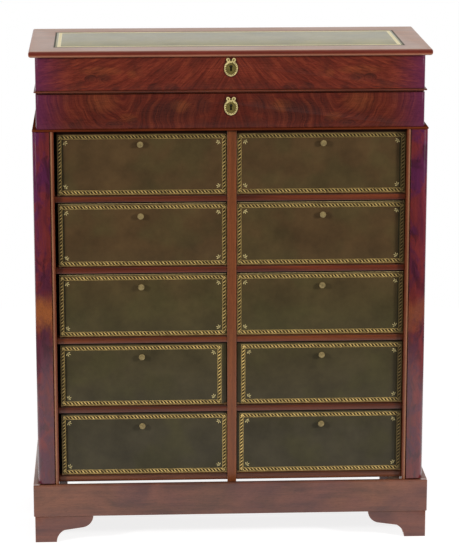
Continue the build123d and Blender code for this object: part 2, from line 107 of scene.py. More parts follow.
class ChestFinish(bpy.types.PropertyGroup):
    """Colours of the woods, leathers and metals."""

    mahogany: colour_setting("Mahogany", "Shelves, rails and case sides", srgb(95, 42, 22))
    mahogany_dark: colour_setting("Mahogany, dark", "Dark grain of the mahogany", srgb(68, 28, 16))
    mahogany_light: colour_setting("Mahogany, light", "Light grain of the mahogany", srgb(116, 56, 30))
    base: colour_setting("Base mahogany", "Faded mahogany of the plinth and feet", srgb(114, 68, 47))
    flame: colour_setting("Flame veneer", "Ground of the drawer fronts", srgb(108, 41, 28))
    flame_dark: colour_setting("Flame veneer, dark", "Dark feathers of the flame", srgb(70, 27, 20))
    flame_light: colour_setting("Flame veneer, light", "Bright feathers of the flame", srgb(136, 60, 36))
    knot: colour_setting("Knots", "Dark knots and smoke in the veneer", srgb(62, 30, 24))
    amber: colour_setting("Amber", "Amber patches of the veneers", srgb(150, 84, 40))
    plum: colour_setting("Plum shade", "Plum tone of the old varnish on the stiles", srgb(84, 29, 63))
    plum_low: colour_setting("Plum shade, lower", "Plum tone low down on the stiles", srgb(84, 32, 48))
    plum_end: colour_setting("Plum ends", "Plum tone at the ends of the drawers", srgb(98, 38, 80))
    stile: colour_setting("Stile veneer", "Ground of the stiles", srgb(90, 30, 34))
    stile_light: colour_setting("Stile veneer, light", "Bright figure of the stiles", srgb(114, 40, 33))
    pale: colour_setting("Pale mahogany", "Centre stile", srgb(116, 62, 30))
    strip: colour_setting("Fillet strips", "Light strips beside the stiles", srgb(156, 104, 74))
    # Pale edges of the polished boards: wear, with painted highlight where the rounded edges catch the
    # lamps
    edge_coat: colour_setting("Worn edge", "Rubbed edges of the polished boards", srgb(164, 104, 74))
    oak: colour_setting("Carcass wood", "Plain wood inside and behind", srgb(128, 96, 62))
    # Painted shade of the dark gaps round drawer fronts, shelves and box fronts, on their edges, and
    # across the head of the first row of boxes
    gap_shade: colour_setting("Grime", "Dark edges of drawers, shelves and box fronts", srgb(34, 17, 9))
    # Painted shade on the walls of the keyholes, and painted shadow round their escutcheons
    keyhole_shade: colour_setting("Soot", "Walls of the keyholes and old wax round them", srgb(10, 7, 6))
    leather_high: colour_setting("Box leather, upper", "Leather of the upper rows", srgb(80, 60, 35))
    leather_middle: colour_setting("Box leather, middle", "Leather of the middle row", srgb(73, 63, 37))
    leather_low: colour_setting("Box leather, lower", "Leather of the lowest row", srgb(66, 60, 45))
    leather_moss: colour_setting("Box leather, moss", "Green patches of the leather", srgb(70, 66, 36))
    band_ground: colour_setting("Band ground", "Dark leather under the gilt borders", srgb(52, 39, 17))
    top_leather: colour_setting("Top leather", "Olive leather of the top", srgb(150, 140, 88))
    top_wood: colour_setting("Top mahogany", "Sunned mahogany of the top", srgb(172, 112, 72))
    gilt: colour_setting("Gilt tooling", "Gold leaf on the box leather", srgb(248, 212, 130))
    dim_gilt: colour_setting("Dim tooling", "Worn gold line at the foot of a box", srgb(122, 94, 54))
    top_gilt: colour_setting("Top tooling", "Gold leaf on the top", srgb(255, 238, 180))
    gilt_brass: colour_setting("Gilt brass", "Rims of the escutcheons", srgb(255, 234, 164))
    field_brass: colour_setting("Field brass", "Sunk fields of the escutcheons", srgb(120, 106, 54))
    knob_brass: colour_setting("Knob brass", "Dull brass of the knobs", srgb(156, 136, 90))
    iron: colour_setting("Iron", "Locks, bolts and pivots", srgb(44, 40, 37))
    bright_iron: colour_setting("Bright iron", "Rubbed drill pins of the locks", srgb(176, 168, 146))


class ToolingSizes(bpy.types.PropertyGroup):
    """Sizes of the gilt tooling on the leather."""

    box_side: length_setting("Box side", "Bare leather beside the border of a box", 1.3 * MM)
    box_head: length_setting("Box head", "Bare leather above the border of a box", 5.2 * MM)
    box_foot: length_setting("Box foot", "Leather below the border of a box", 3.4 * MM)
    box_drop: length_setting("Box drop", "Further drop of the border in the first row", 4.6 * MM)
    box_band: length_setting("Box band", "Width of a box border", 10.0 * MM)
    box_pitch: length_setting("Box pitch", "Length of one stroke of a box border", 8.8 * MM)
    # Width of the painted shadow that the stile strips cast inside the outer border of a box
    box_strip_shadow: length_setting("Box dusk", "Dark leather inside the outer border of a box", 5.0 * MM)
    # A box front's rounded edge carries painted shade of the gaps round it over this width
    box_edge: length_setting("Box edge", "Dark turned edge of the leather of a box", 1.2 * MM)
    top_margin: length_setting("Top margin", "Bare leather outside the border of the top", 8.5 * MM)
    top_rim: length_setting("Top rim", "Dark line round the leather of the top", 4.0 * MM)
    top_edge: length_setting("Top edge", "Turned edge of the leather of the top", 0.3 * MM)
    top_band: length_setting("Top band", "Width of the border of the top", 9.0 * MM)
    top_pitch: length_setting("Top pitch", "Length of one stroke of the top border", 6.0 * MM)
    top_line: length_setting("Top line", "Width of a gilt line of the top", 2.1 * MM)
    line: length_setting("Line", "Width of a gilt line of a box", 0.6 * MM)
    sprig: length_setting("Sprig", "Size of a corner sprig", 10.0 * MM)
    sprig_inset: length_setting("Sprig inset", "Corner sprig inside the border", 7.5 * MM)
    relief: length_setting("Relief", "Height of the gilding above its leather", 0.12 * MM)


class MountSizes(bpy.types.PropertyGroup):
    """Sizes of the metal mounts and of the softened edges."""

    # The pale edges carry wear and painted highlight
    edge: length_setting("Edge", "Width of the rubbed edge of a board", 0.8 * MM)
    # The edge of a drawer or shelf carries painted shade of the gap beside it over this width
    gap_shade_edge: length_setting("Deep edge", "Width of the dark edge of a drawer or shelf", 1.2 * MM)
    tray_edge: length_setting("Tray edge", "Width of the soft edge of a box tray", 0.5 * MM)
    bead: length_setting("Bead", "Radius of a rim leaf of an escutcheon", 2.1 * MM)
    wire: length_setting("Wire", "Radius of the ribbon of an escutcheon", 1.6 * MM)
    beads: IntProperty(name="Rim leaves", description="Leaves round an escutcheon", default=20)
    turns: IntProperty(name="Knob facets", description="Facets round a knob", default=40)


class StageSettings(bpy.types.PropertyGroup):
    """Camera, floor and lamps."""

    camera: FloatVectorProperty(
        name="Camera",
        description="Place of the camera",
        subtype="TRANSLATION",
        default=(-0.2991, -6.2176, 2.1243),
    )
    yaw: number_setting("Yaw", "Turn of the camera to the right", math.radians(2.82), "ANGLE")
    pitch: number_setting("Pitch", "Tilt of the camera below the level", math.radians(13.331), "ANGLE")
    lens: number_setting("Lens", "Focal length in millimetres", 158.4)
    left_lamp: number_setting("Left lamp", "Power of the left lamp", 100.0, "POWER")
    right_lamp: number_setting("Right lamp", "Power of the right lamp", 112.0, "POWER")
    glint: number_setting("Glint", "Share of the lamps that polish mirrors", 0.1)
    ambient: number_setting("Ambient", "Level of the light from all round", 0.4)
    floor_reach: length_setting("Floor reach", "Half the width of the floor", 2.4)


# Node helpers

# How far the roughness of a surface falls and rises with its haze
HAZE_FALL = 0.06
HAZE_RISE = 0.08


def opaque(colour):
    """A colour with full alpha."""
    return (colour[0], colour[1], colour[2], 1.0)


def shaded(colour, share):
    """A colour made darker or lighter."""
    return tuple(min(1.0, value * share) for value in colour)


class Level:
    """A number, vector or colour that varies over a surface, with arithmetic made of nodes."""

    def __init__(self, wiring, socket):
        self.wiring = wiring
        self.socket = socket

    def __add__(self, other):
        return self.wiring.maths("ADD", self, other)

    def __sub__(self, other):
        return self.wiring.maths("SUBTRACT", self, other)

    def __rsub__(self, other):
        return self.wiring.maths("SUBTRACT", other, self)

    def __mul__(self, other):
        return self.wiring.maths("MULTIPLY", self, other)

    def __truediv__(self, other):
        return self.wiring.maths("DIVIDE", self, other)

    def __pow__(self, power):
        return self.wiring.maths("POWER", self, power)

    def __abs__(self):
        return self.wiring.maths("ABSOLUTE", self)

    def mapped(self, limits, interpolation="LINEAR"):
        """Carries one range over to another."""
        inputs = {"Value": self, **limits}
        made = self.wiring.node("ShaderNodeMapRange", inputs, interpolation_type=interpolation)
        return Level(self.wiring, made.outputs["Result"])

    def ease(self, low, high):
        """Rises smoothly from 0 at low to 1 at high."""
        return self.mapped({"From Min": low, "From Max": high}, "SMOOTHSTEP")

    def portion(self, low, high):
        """Rises evenly from 0 at low to 1 at high."""
        return self.mapped({"From Min": low, "From Max": high})

    def spread(self, low, high):
        """Carries 0 to 1 over to a range."""
        return self.mapped({"To Min": low, "To Max": high})

    def scaled(self, share):
        """A colour made darker or lighter from place to place."""
        made = self.wiring.node("ShaderNodeVectorMath", {0: self, "Scale": share}, operation="SCALE")
        return Level(self.wiring, made.outputs[0])

    def ramp(self, *stops):
        """Colours along a ramp, given as (place, colour) pairs."""
        made = self.wiring.node("ShaderNodeValToRGB", {"Fac": self})
        points = made.color_ramp.elements
        while len(points) < len(stops):
            points.new(1.0)
        for point, (place, colour) in zip(points, stops):
            point.position = place
            point.color = opaque(colour)
        return Level(self.wiring, made.outputs["Color"])


class Wiring:
    """The node tree of a material or a world, with short ways to add to it."""

    def __init__(self, owner):
        owner.use_nodes = True
        self.tree = owner.node_tree

    def feed(self, socket, value):
        """Links a socket to a level or to another socket, or sets it to a plain value."""
        if isinstance(value, Level):
            value = value.socket
        if isinstance(value, bpy.types.NodeSocket):
            self.tree.links.new(value, socket)
        elif socket.type == "RGBA":
            socket.default_value = opaque(value)
        else:
            socket.default_value = value

    def node(self, kind, inputs=None, **options):
        """Adds a node, sets its options and feeds its inputs."""
        made = self.tree.nodes.new(kind)
        for option, value in options.items():
            setattr(made, option, value)
        for socket, value in (inputs or {}).items():
            self.feed(made.inputs[socket], value)
        return made

    def maths(self, operation, *values):
        """One step of arithmetic on levels and numbers."""
        made = self.node("ShaderNodeMath", dict(enumerate(values)), operation=operation)
        return Level(self, made.outputs[0])

    def most(self, *levels):
        """The largest of several levels."""
        largest = levels[0]
        for level in levels[1:]:
            largest = self.maths("MAXIMUM", largest, level)
        return largest

    def least(self, first, second):
        """The smaller of two levels."""
        return self.maths("MINIMUM", first, second)

    def split(self, vector):
        """The three numbers of a vector."""
        parts = self.node("ShaderNodeSeparateXYZ", {"Vector": vector}).outputs
        return [Level(self, parts[axis]) for axis in "XYZ"]

    def vector(self, x, y, z=0.0):
        """A vector, or a plain colour, from three numbers."""
        return Level(self, self.node("ShaderNodeCombineXYZ", {"X": x, "Y": y, "Z": z}).outputs["Vector"])

    def noise(self, vector, scale=1.0, detail=3.0, roughness=0.55, distortion=0.0):
        """Cloudy noise from 0 to 1."""
        inputs = {
            "Vector": vector,
            "Scale": scale,
            "Detail": detail,
            "Roughness": roughness,
            "Distortion": distortion,
        }
        return Level(self, self.node("ShaderNodeTexNoise", inputs).outputs["Fac"])

    def blend(self, share, first, second, mode="MIX"):
        """Mixes two colours."""
        made = self.node("ShaderNodeMix", data_type="RGBA", blend_type=mode)
        colours = [socket for socket in made.inputs if socket.type == "RGBA"]
        for socket, value in zip((made.inputs[0], *colours), (share, first, second)):
            self.feed(socket, value)
        return Level(self, next(socket for socket in made.outputs if socket.type == "RGBA"))

    def rays(self):
        """Which rays are the camera's own, and which ones were mirrored or let through."""
        path = self.node("ShaderNodeLightPath").outputs
        thrown = self.maths("MAXIMUM", path["Is Glossy Ray"], path["Is Transmission Ray"])
        return Level(self, path["Is Camera Ray"]), thrown


class Coat(Wiring):
    """The finish of a surface: a material with its shader and its coordinates."""

    def __init__(self, name):
        self.material = bpy.data.materials.new(name)
        super().__init__(self.material)
        self.shader = self.tree.nodes["Principled BSDF"]
        self.coords = self.node("ShaderNodeTexCoord").outputs["Object"]
        self.x, self.y, self.z = self.split(self.coords)

    def wire(self, name, value):
        """Links or sets an input of the shader."""
        self.feed(self.shader.inputs[name], value)

    def grain(self, axis, along, across, **options):
        """Noise drawn out along the grain of a board."""
        scale = [across, across, across]
        scale["XYZ".index(axis)] = along
        drawn = self.node("ShaderNodeMapping", {"Vector": self.coords, "Scale": scale})
        return self.noise(drawn.outputs["Vector"], **options)

    def recolour(self, share, colour, mode="MIX"):
        """Blends another colour over what is painted so far."""
        painted = self.shader.inputs["Base Color"].links[0].from_socket
        self.wire("Base Color", self.blend(share, painted, colour, mode))

    def polish(self, haze, roughness):
        """Lets the roughness vary a little with a haze."""
        self.wire("Roughness", haze.spread(roughness - HAZE_FALL, roughness + HAZE_RISE))

    def roughen(self, height, strength, depth):
        """Feeds a bump into the shader."""
        inputs = {"Height": height, "Strength": strength, "Distance": depth}
        self.wire("Normal", self.node("ShaderNodeBump", inputs).outputs["Normal"])


# Woods

# Scales of a wood's figure along and across its grain, per metre
GRAIN = (3.2, 75.0)
FIBRES = (12.0, 620.0)
PORES = (110.0, 1900.0)
FIBRE_SHADES = (0.72, 1.26)
PORE_TINTS = ((0.3, (0.55, 0.5, 0.48)), (0.42, (1.0, 1.0, 1.0)))
PORE_BUMP = 0.12
PORE_DEPTH = 0.2 * MM
HAZE_SCALE = 9.0
COAT_ROUGHNESS = 0.12


def wood_surface(coat, axis, colour, roughness, varnish=0.25):
    """Adds fibres, pores, polish and bump to a wood whose figure is already painted."""
    fibres = coat.grain(axis, *FIBRES, detail=2.0)
    pores = coat.grain(axis, *PORES, detail=1.0)
    pored = coat.blend(1.0, colour, pores.ramp(*PORE_TINTS), "MULTIPLY")
    coat.wire("Base Color", pored.scaled(fibres.spread(*FIBRE_SHADES)))
    coat.polish(coat.noise(coat.coords, HAZE_SCALE), roughness)
    coat.wire("Coat Weight", varnish)
    coat.wire("Coat Roughness", COAT_ROUGHNESS)
    coat.roughen(pores, PORE_BUMP, PORE_DEPTH)
    return coat


def plain_wood(name, tones, axis, roughness, varnish):
    """A straight-grained wood; tones are its dark, middle and light colours."""
    coat = Coat(name)
    grain = coat.grain(axis, *GRAIN, detail=4.0, distortion=0.5)
    colour = grain.ramp(*zip((0.28, 0.5, 0.72), tones))
    return wood_surface(coat, axis, colour, roughness, varnish)


def mahogany(name, axis, finish, roughness=0.28, varnish=0.25):
    """Polished mahogany with the grain along one axis."""
    tones = (finish.mahogany_dark, finish.mahogany, finish.mahogany_light)
    return plain_wood(name, tones, axis, roughness, varnish)


def toned_wood(name, axis, colour, roughness=0.3, varnish=0.25):
    """A wood whose dark and light grain follow from one colour."""
    tones = (shaded(colour, 0.7), colour, shaded(colour, 1.28))
    return plain_wood(name, tones, axis, roughness, varnish)


# Knots and amber patches of the drawer fronts, as (from the end, from the top) and
# (half length, half height), in metres
UPPER_KNOTS = (
    ((0.138, 0.052), (0.020, 0.013)),
    ((0.170, 0.052), (0.024, 0.014)),
    ((0.298, 0.080), (0.022, 0.018)),
    ((0.338, 0.080), (0.026, 0.018)),
)
UPPER_AMBERS = (
    ((0.238, 0.044), (0.016, 0.014)),
    ((0.160, 0.036), (0.070, 0.014)),
)
LOWER_KNOTS = (
    ((0.415, 0.030), (0.030, 0.030)),
    ((0.330, 0.044), (0.100, 0.040)),
    ((0.240, 0.066), (0.020, 0.014)),
    ((0.195, 0.072), (0.030, 0.010)),
)
LOWER_AMBERS = (
    ((0.226, 0.058), (0.030, 0.014)),
    ((0.165, 0.020), (0.050, 0.034)),
    ((0.360, 0.030), (0.030, 0.022)),
)
UPPER_SLOPE = 0.22
UPPER_CURVE = 1.93
ARC_MIDDLE = 215 * MM
ARC_SQUASH = 1.1
UPRIGHT_LEAN = 0.3


def patch(end, down, spot, size):
    """A soft oval patch, 1 in its middle."""
    over = (end - spot[0]) / size[0]
    under = (down - spot[1]) / size[1]
    return 1.0 - (over * over + under * under).ease(0.0, 1.0)


def upper_feathers(end, down):
    """Lines that lie low at the ends and rise towards the middle."""
    return down + (end * end * UPPER_CURVE + UPPER_SLOPE) * end


def lower_feathers(end, down):
    """Arcs under the top edge on the outer side, upright lines towards the middle."""
    off = end - ARC_MIDDLE
    drop = down * ARC_SQUASH
    arc = (drop * drop + off * off) ** 0.5
    upright = down * UPRIGHT_LEAN + abs(off)
    inward = off.ease(-30 * MM, 50 * MM)
    return (upright - arc) * inward + arc


# The lines, knots, amber patches and brightness of each drawer front
FLAMES = {
    "upper": (upper_feathers, UPPER_KNOTS, UPPER_AMBERS, 1.0),
    "lower": (lower_feathers, LOWER_KNOTS, LOWER_AMBERS, 0.72),
}
# Streaks of the flame from broad to fine, as (scale across, scale along, weight)
STREAKS = ((50.0, 9.0, 0.30), (170.0, 22.0, 0.36), (480.0, 45.0, 0.34))
WANDER = 14 * MM
RIPPLE = 2.5 * MM
KNOT_PULL = 14 * MM
PLUM_FALL = (-50 * MM, 115 * MM)
# Reach of the painted shadow round an escutcheon, in shares of its half size
PLATE_SHADOW_REACH = 1.35


def keyhole_shade_mask(coat, end, down, tier):
    """Painted shade on the walls of the keyhole, and a painted shadow round its escutcheon."""
    front_low, front_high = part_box(f"{tier}_drawer_front")
    plate_low, plate_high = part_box(f"{tier}_escutcheon")
    plate = (plate_high - plate_low) / 2
    inside = coat.y.ease(front_low.y + 0.2 * MM, front_low.y + 0.8 * MM)
    near = end.ease(front_high.x - 9 * MM, front_high.x - 7 * MM)
    spot = (front_high.x, front_high.z - (plate_low.z + plate_high.z) / 2)
    # A painted shadow round the escutcheon
    plate_shadow = patch(end, down, spot, (plate.x * PLATE_SHADOW_REACH, plate.z * PLATE_SHADOW_REACH))
    return coat.most(inside * near, plate_shadow)


def flame_veneer(tier, finish):
    """Flame mahogany of one drawer front, book-matched about its middle."""
    feathers, knots, ambers, brightness = FLAMES[tier]
    coat = Coat(f"{tier}_flame")
    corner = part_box(f"{tier}_drawer_front")[1]
    end = corner.x - abs(coat.x)
    down = corner.z - coat.z
    place = coat.vector(end, down)
    wander = coat.noise(place, 11.0, 2.0).spread(-WANDER, WANDER)
    ripple = coat.noise(place, 60.0, 2.0).spread(-RIPPLE, RIPPLE)
    spot = (end + wander, down + ripple)
    dark = coat.most(*(patch(*spot, *knot) for knot in knots))
    across = feathers(end, down) + wander + ripple + dark * KNOT_PULL
    streaks = [
        coat.noise(coat.vector(across * often, end * along), detail=2.0) * weight
        for often, along, weight in STREAKS
    ]
    figure = sum(streaks[1:], streaks[0])
    tones = (finish.flame_dark, finish.flame, finish.flame_light)
    flame = figure.ramp(*zip((0.34, 0.5, 0.66), (shaded(tone, brightness) for tone in tones)))
    cloudy = coat.noise(place, 21.0)
    streaked = figure.spread(1.4, -0.1) * cloudy.spread(0.3, 1.7)
    smoke = coat.most(cloudy.ease(0.46, 0.72) * 0.5, dark * streaked)
    smoked = coat.blend(smoke, flame, finish.knot)
    glow = coat.most(*(patch(*spot, *amber) for amber in ambers)) * figure.spread(-0.3, 0.62)
    warmed = coat.blend(coat.most(glow, 0.0), smoked, finish.amber)
    plummed = coat.blend((1.0 - end.ease(*PLUM_FALL)) ** 1.5, warmed, finish.plum_end)
    # Painted shade in the keyhole and painted shadow round the escutcheon
    keyhole_shaded = coat.blend(keyhole_shade_mask(coat, end, down, tier), plummed, finish.keyhole_shade)
    return wood_surface(coat, "X", keyhole_shaded, 0.24)


# Height and strength of the amber patch on each stile, its half height and its ragged edge
AMBER_PATCHES = {"left": (0.607, 1.0), "right": (0.60, 0.5)}
AMBER_HALF = 60 * MM
AMBER_RAG = 60 * MM
# Heights between which the plum of the stiles turns cooler
PLUM_HEIGHTS = (0.62, 0.95)
# Painted shading of a stile: its brightness at its inner and outer edge
STILE_SHADES = (0.82, 1.18)


def stile_veneer(side, finish):
    """Dark upright veneer, plum towards its outer edge, with red clouds, smudges, an amber patch and
    painted shading that brightens it outward.
    """
    coat = Coat(f"{side}_stile_veneer")
    near, far = sorted(abs(corner.x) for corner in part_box(f"{side}_stile"))
    grain = coat.grain("Z", 9.0, 70.0, detail=4.0, distortion=0.8)
    clouds = coat.grain("Z", 10.0, 20.0, detail=4.0, roughness=0.65, distortion=0.6)
    smudges = coat.grain("Z", 14.0, 30.0, detail=3.0, distortion=1.2)
    curls = coat.noise(coat.coords, 120.0, 3.0, 0.6, 1.5)
    tones = (finish.stile, finish.stile_light, shaded(finish.stile_light, 1.25))
    red = grain.ramp(*zip((0.3, 0.5, 0.7), tones))
    off = abs(coat.x)
    outer = off.ease(near - 0.3 * (far - near), far)
    plummy = clouds.ease(0.58, 0.42) * 0.85 + outer * 0.4
    plum = coat.blend(coat.z.ease(*PLUM_HEIGHTS), finish.plum_low, finish.plum)
    plummed = coat.blend(coat.least(plummy, 1.0), red, plum)
    smudged = coat.blend(smudges.ease(0.5, 0.64) * 0.6, plummed, shaded(finish.plum_low, 0.42))
    # Painted shading: darker at the inner edge, brighter at the outer
    painted_shading = smudged.scaled(off.ease(near, far).spread(*STILE_SHADES))
    height, strength = AMBER_PATCHES[side]
    ragged = coat.z + clouds.spread(-AMBER_RAG, AMBER_RAG)
    glow = (1.0 - abs(ragged - height).ease(0.0, AMBER_HALF)) * curls.spread(0.3, 1.7)
    colour = coat.blend(coat.least(glow, 0.9) * strength, painted_shading, finish.amber)
    return wood_surface(coat, "Z", colour, 0.25)


# Heights between which the plum cast fades from the base, and the stretch about its middle where painted
# shade darkens it, as the side lamps light the middle less
BASE_PLUM_HEIGHTS = (0.11, 0.04)
BASE_SHADED_MIDDLE = (0.05, 0.35)


def faded_wood(name, colour, plum):
    """Faded mahogany with a soft cloudy figure and painted shade about its middle."""
    coat = Coat(name)
    clouds = coat.grain("X", 7.0, 14.0, detail=4.0, distortion=0.8)
    grain = coat.grain("X", 4.0, 90.0, detail=3.0, distortion=0.4)
    figure = grain * 0.25 + clouds * 0.75
    toned = figure.ramp((0.38, shaded(colour, 0.62)), (0.5, colour), (0.62, shaded(colour, 1.32)))
    cool = coat.noise(coat.coords, 6.0, 2.0).ease(0.4, 0.7)
    cool = coat.most(cool, coat.z.ease(*BASE_PLUM_HEIGHTS)) * 0.22
    tinted = coat.blend(cool, toned, plum)
    # Painted shade: darker about the middle, where the side lamps light it less
    shade = abs(coat.x).ease(*BASE_SHADED_MIDDLE).spread(0.8, 1.0)
    return wood_surface(coat, "X", tinted.scaled(shade), 0.3)


def top_wood(name, finish):
    """Mahogany that the sun has bleached above, and paler along the lower edge from wear and painted
    highlight.
    """
    coat = Coat(name)
    low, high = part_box("top_board")
    thick = high.z - low.z
    # Paler along the lower edge: wear, with painted highlight where the edge catches light from below
    paler = coat.z.ease(low.z + 0.5 * thick, low.z + 0.2 * thick)
    below = coat.blend(paler, finish.flame, finish.edge_coat)
    bleached = coat.z.ease(high.z - 1.5 * MM, high.z - 0.3 * MM)
    toned = coat.blend(bleached, below, finish.top_wood)
    grain = coat.grain("X", *GRAIN, detail=4.0, distortion=0.5)
    return wood_surface(coat, "X", toned.scaled(grain.spread(0.6, 1.4)), 0.32, 0.0)


# Tints of the shelves, as (place up the case, shares of red, green and blue), the paler, greyer lowest
# first
SHELF_TINTS = (
    (0.0, (1.25, 1.85, 2.1)),
    (0.25, (0.74, 0.70, 0.58)),
    (0.5, (1.18, 1.22, 0.84)),
    (0.75, (1.04, 0.84, 0.74)),
    (1.0, (1.0, 0.93, 0.8)),
)


def shelf_wood(name, finish):
    """Mahogany of the shelves, each in its own tint."""
    coat = mahogany(name, "X", finish, 0.4, 0.05)
    low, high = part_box("shelves")
    coat.recolour(1.0, coat.z.portion(low.z, high.z).ramp(*SHELF_TINTS), "MULTIPLY")
    return coat


# From the outer face of a front post to the inner edge of its fillet strip, and the strip's width
STRIP_REACH = 50.0 * MM
STRIP_WIDTH = 8.8 * MM


def strip_wood(name, finish):
    """Fillet strip, light on its outer half, with painted shade along its inner edge and beside the
    stile.
    """
    coat = Coat(name)
    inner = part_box("front_posts")[1].x - STRIP_REACH
    across = (abs(coat.x) - inner) / STRIP_WIDTH
    # Light band of the strip; on either side of it the colour darkens as painted shade, along the inner
    # edge and in the gap by the stile
    paler = across.ease(0.35, 0.55) * (1.0 - across.ease(1.2, 1.4))
    grain = coat.grain("Z", *GRAIN, detail=3.0)
    light = grain.ramp((0.3, shaded(finish.strip, 0.7)), (0.7, shaded(finish.strip, 1.1)))
    colour = coat.blend(paler, shaded(finish.mahogany_light, 0.9), light)
    return wood_surface(coat, "Z", colour, 0.4, 0.0)


# Leathers and metals

BOX_PEBBLE = 0.8 * MM
TOP_PEBBLE = 0.9 * MM
PEBBLE_SHADE = 0.12
PEBBLE_BUMP = 0.2
PEBBLE_DEPTH = 0.3 * MM
METAL_BUMP = 0.08
METAL_DEPTH = 0.2 * MM


def leather(name, colour, pebble_size, roughness, shine):
    """Grained leather with soft stains; colour is a triple, or a function that paints on the coat."""
    coat = Coat(name)
    cells = coat.node("ShaderNodeTexVoronoi", {"Vector": coat.coords, "Scale": 1 / pebble_size})
    pebble = Level(coat, cells.outputs["Distance"])
    stains = coat.noise(coat.coords, 12.0, 4.0, 0.6)
    paler = coat.noise(coat.coords, 70.0)
    shade = paler * 0.3 + stains.spread(0.32, 1.38) - pebble * PEBBLE_SHADE
    hide = colour(coat) if callable(colour) else coat.vector(*colour)
    coat.wire("Base Color", hide.scaled(shade))
    coat.polish(paler, roughness)
    coat.wire("Specular IOR Level", shine)
    coat.roughen(pebble, PEBBLE_BUMP, PEBBLE_DEPTH)
    return coat


def metal(name, colour, tarnish, metallic, roughness, patch_size=6.0 * MM):
    """Old metal that is darker in patches; tarnish is the share of its colour that is left there."""
    coat = Coat(name)
    patches = coat.noise(coat.coords, 1 / patch_size, 4.0, 0.6)
    coat.wire("Base Color", patches.ramp((0.32, shaded(colour, tarnish)), (0.62, colour)))
    coat.wire("Metallic", metallic)
    coat.wire("Roughness", patches.spread(roughness + 0.12, roughness - 0.05))
    coat.roughen(coat.noise(coat.coords, 900.0, 2.0), METAL_BUMP, METAL_DEPTH)
    return coat


# Heights between which the box gilding grows duller
GILT_FADE = (0.5, 0.95)


def box_gilding(finish, sizes):
    """Gold leaf of the boxes, with painted shadow of the stile strips on the outer borders and of the
    waist board on the first row's heads, and duller higher up.
    """
    coat = metal("box_gilt", finish.gilt, 0.4, 0.3, 0.42, 12 * MM)
    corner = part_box("carton_right_1_flap")[1]
    reach = corner.x - sizes.box_side - sizes.box_band
    height = corner.z - sizes.box_head - sizes.box_drop - sizes.box_band
    # Painted shadow of the stile strips on the outer borders
    side = abs(coat.x).ease(reach - 4 * MM, reach + 2 * MM) * 0.8
    # Painted shadow of the waist board on the heads of the first-row borders
    head = coat.z.ease(height - 2 * MM, height + 2 * MM) * 0.5
    fade = coat.z.ease(*GILT_FADE) * 0.14
    coat.recolour(coat.most(side, head, fade), shaded(finish.gilt, 0.14))
    return coat


def lock_iron(name, finish):
    """Dark lock iron whose drill pin is bright at its tip."""
    coat = metal(f"{name}_iron", finish.iron, 0.5, 0.5, 0.5)
    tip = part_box(name)[0].y
    coat.recolour(coat.y.ease(tip + 4 * MM, tip + 1 * MM), finish.bright_iron)
    return coat


# Mesh helpers


def mesh_of(name, shape):
    """The mesh of a finished shape; the shape itself is freed."""
    mesh = bpy.data.meshes.new(name)
    shape.to_mesh(mesh)
    shape.free()
    return mesh


def add_piece(name, mesh, coats, body, slot, replaced=()):
    """Makes an object of a mesh, parents it to the empty of its body and hides the CAD nodes it
    replaces.
    """
    piece = bpy.data.objects.new(name, mesh)
    bpy.context.scene.collection.objects.link(piece)
    for coat in coats:
        mesh.materials.append(coat.material)
    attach(piece, body)
    if replaced:
        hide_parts(*replaced)
    return piece


def body_of(name):
    """The CAD body that a node rides on."""
    for body, members in frame["record"]["behaviour"]["bodies"].items():
        if name in members:
            return body
    raise RuntimeError(f"no body holds {name}")


def slot_of(name):
    """The record's material slot of a node."""
    for part in frame["record"]["subparts"]:
        if part["node"] == name:
            return part["material_slot"]
    raise RuntimeError(f"no slot for {name}")


SHARP_ANGLE = math.radians(35)
FLAT_ANGLE = math.radians(0.5)
WELD = 0.001 * MM


def soften(name, coat, edge_coat, width):
    """Stands in for a CAD node, with its sharp edges rounded off in a coat of their own: pale wear with
    painted highlight, painted shade of a gap, or the node's own coat.
    """
    shape = bmesh.new()
    shape.from_mesh(frame["nodes"][name].data)
    bmesh.ops.remove_doubles(shape, verts=shape.verts, dist=WELD)
    bmesh.ops.dissolve_limit(shape, angle_limit=FLAT_ANGLE, verts=shape.verts, edges=shape.edges)
    for face in shape.faces:
        face.material_index = 0
    sharp = [edge for edge in shape.edges if edge.is_convex and edge.calc_face_angle(0) > SHARP_ANGLE]
    bmesh.ops.bevel(
        shape,
        geom=sharp,
        offset=width,
        segments=2,
        profile=0.5,
        affect="EDGES",
        clamp_overlap=True,
        material=1,
    )
    mesh = mesh_of(f"{name}_finish", shape)
    mesh.shade_smooth()
    mesh.set_sharp_from_angle(angle=SHARP_ANGLE)
    add_piece(f"{name}_finish", mesh, (coat, edge_coat), body_of(name), slot_of(name), (name,))


def paint(name, coat):
    """Gives a CAD node its finish."""
    data = frame["nodes"][name].data
    data.materials.clear()
    data.materials.append(coat.material)


def prism(shape, outline, place, lift, sink):
    """Adds a flat closed tile; place carries a point of the outline and a height to its spot."""
    upper = [shape.verts.new(place(point, lift)) for point in outline]
    lower = [shape.verts.new(place(point, -sink)) for point in outline]
    shape.faces.new(upper)
    shape.faces.new(lower[::-1])
    count = len(outline)
    for index in range(count):
        after = (index + 1) % count
        shape.faces.new((upper[after], upper[index], lower[index], lower[after]))


def oval_points(middle, wide, tall, count):
    """Points round an oval."""
    turns = [2 * math.pi * step / count for step in range(count)]
    return [(middle[0] + wide * math.cos(turn), middle[1] + tall * math.sin(turn)) for turn in turns]


# Gilt tooling, drawn on a flat panel as (across, up) points

TILE_SINK = 0.05 * MM
# A stroke's steps, then its half height, half width and width at the tips, as shares
STROKE_STEPS = 6
STROKE_LEAN_SHARE = 0.42
STROKE_FAT_SHARE = 0.11
STROKE_TIP_SHARE = 0.25
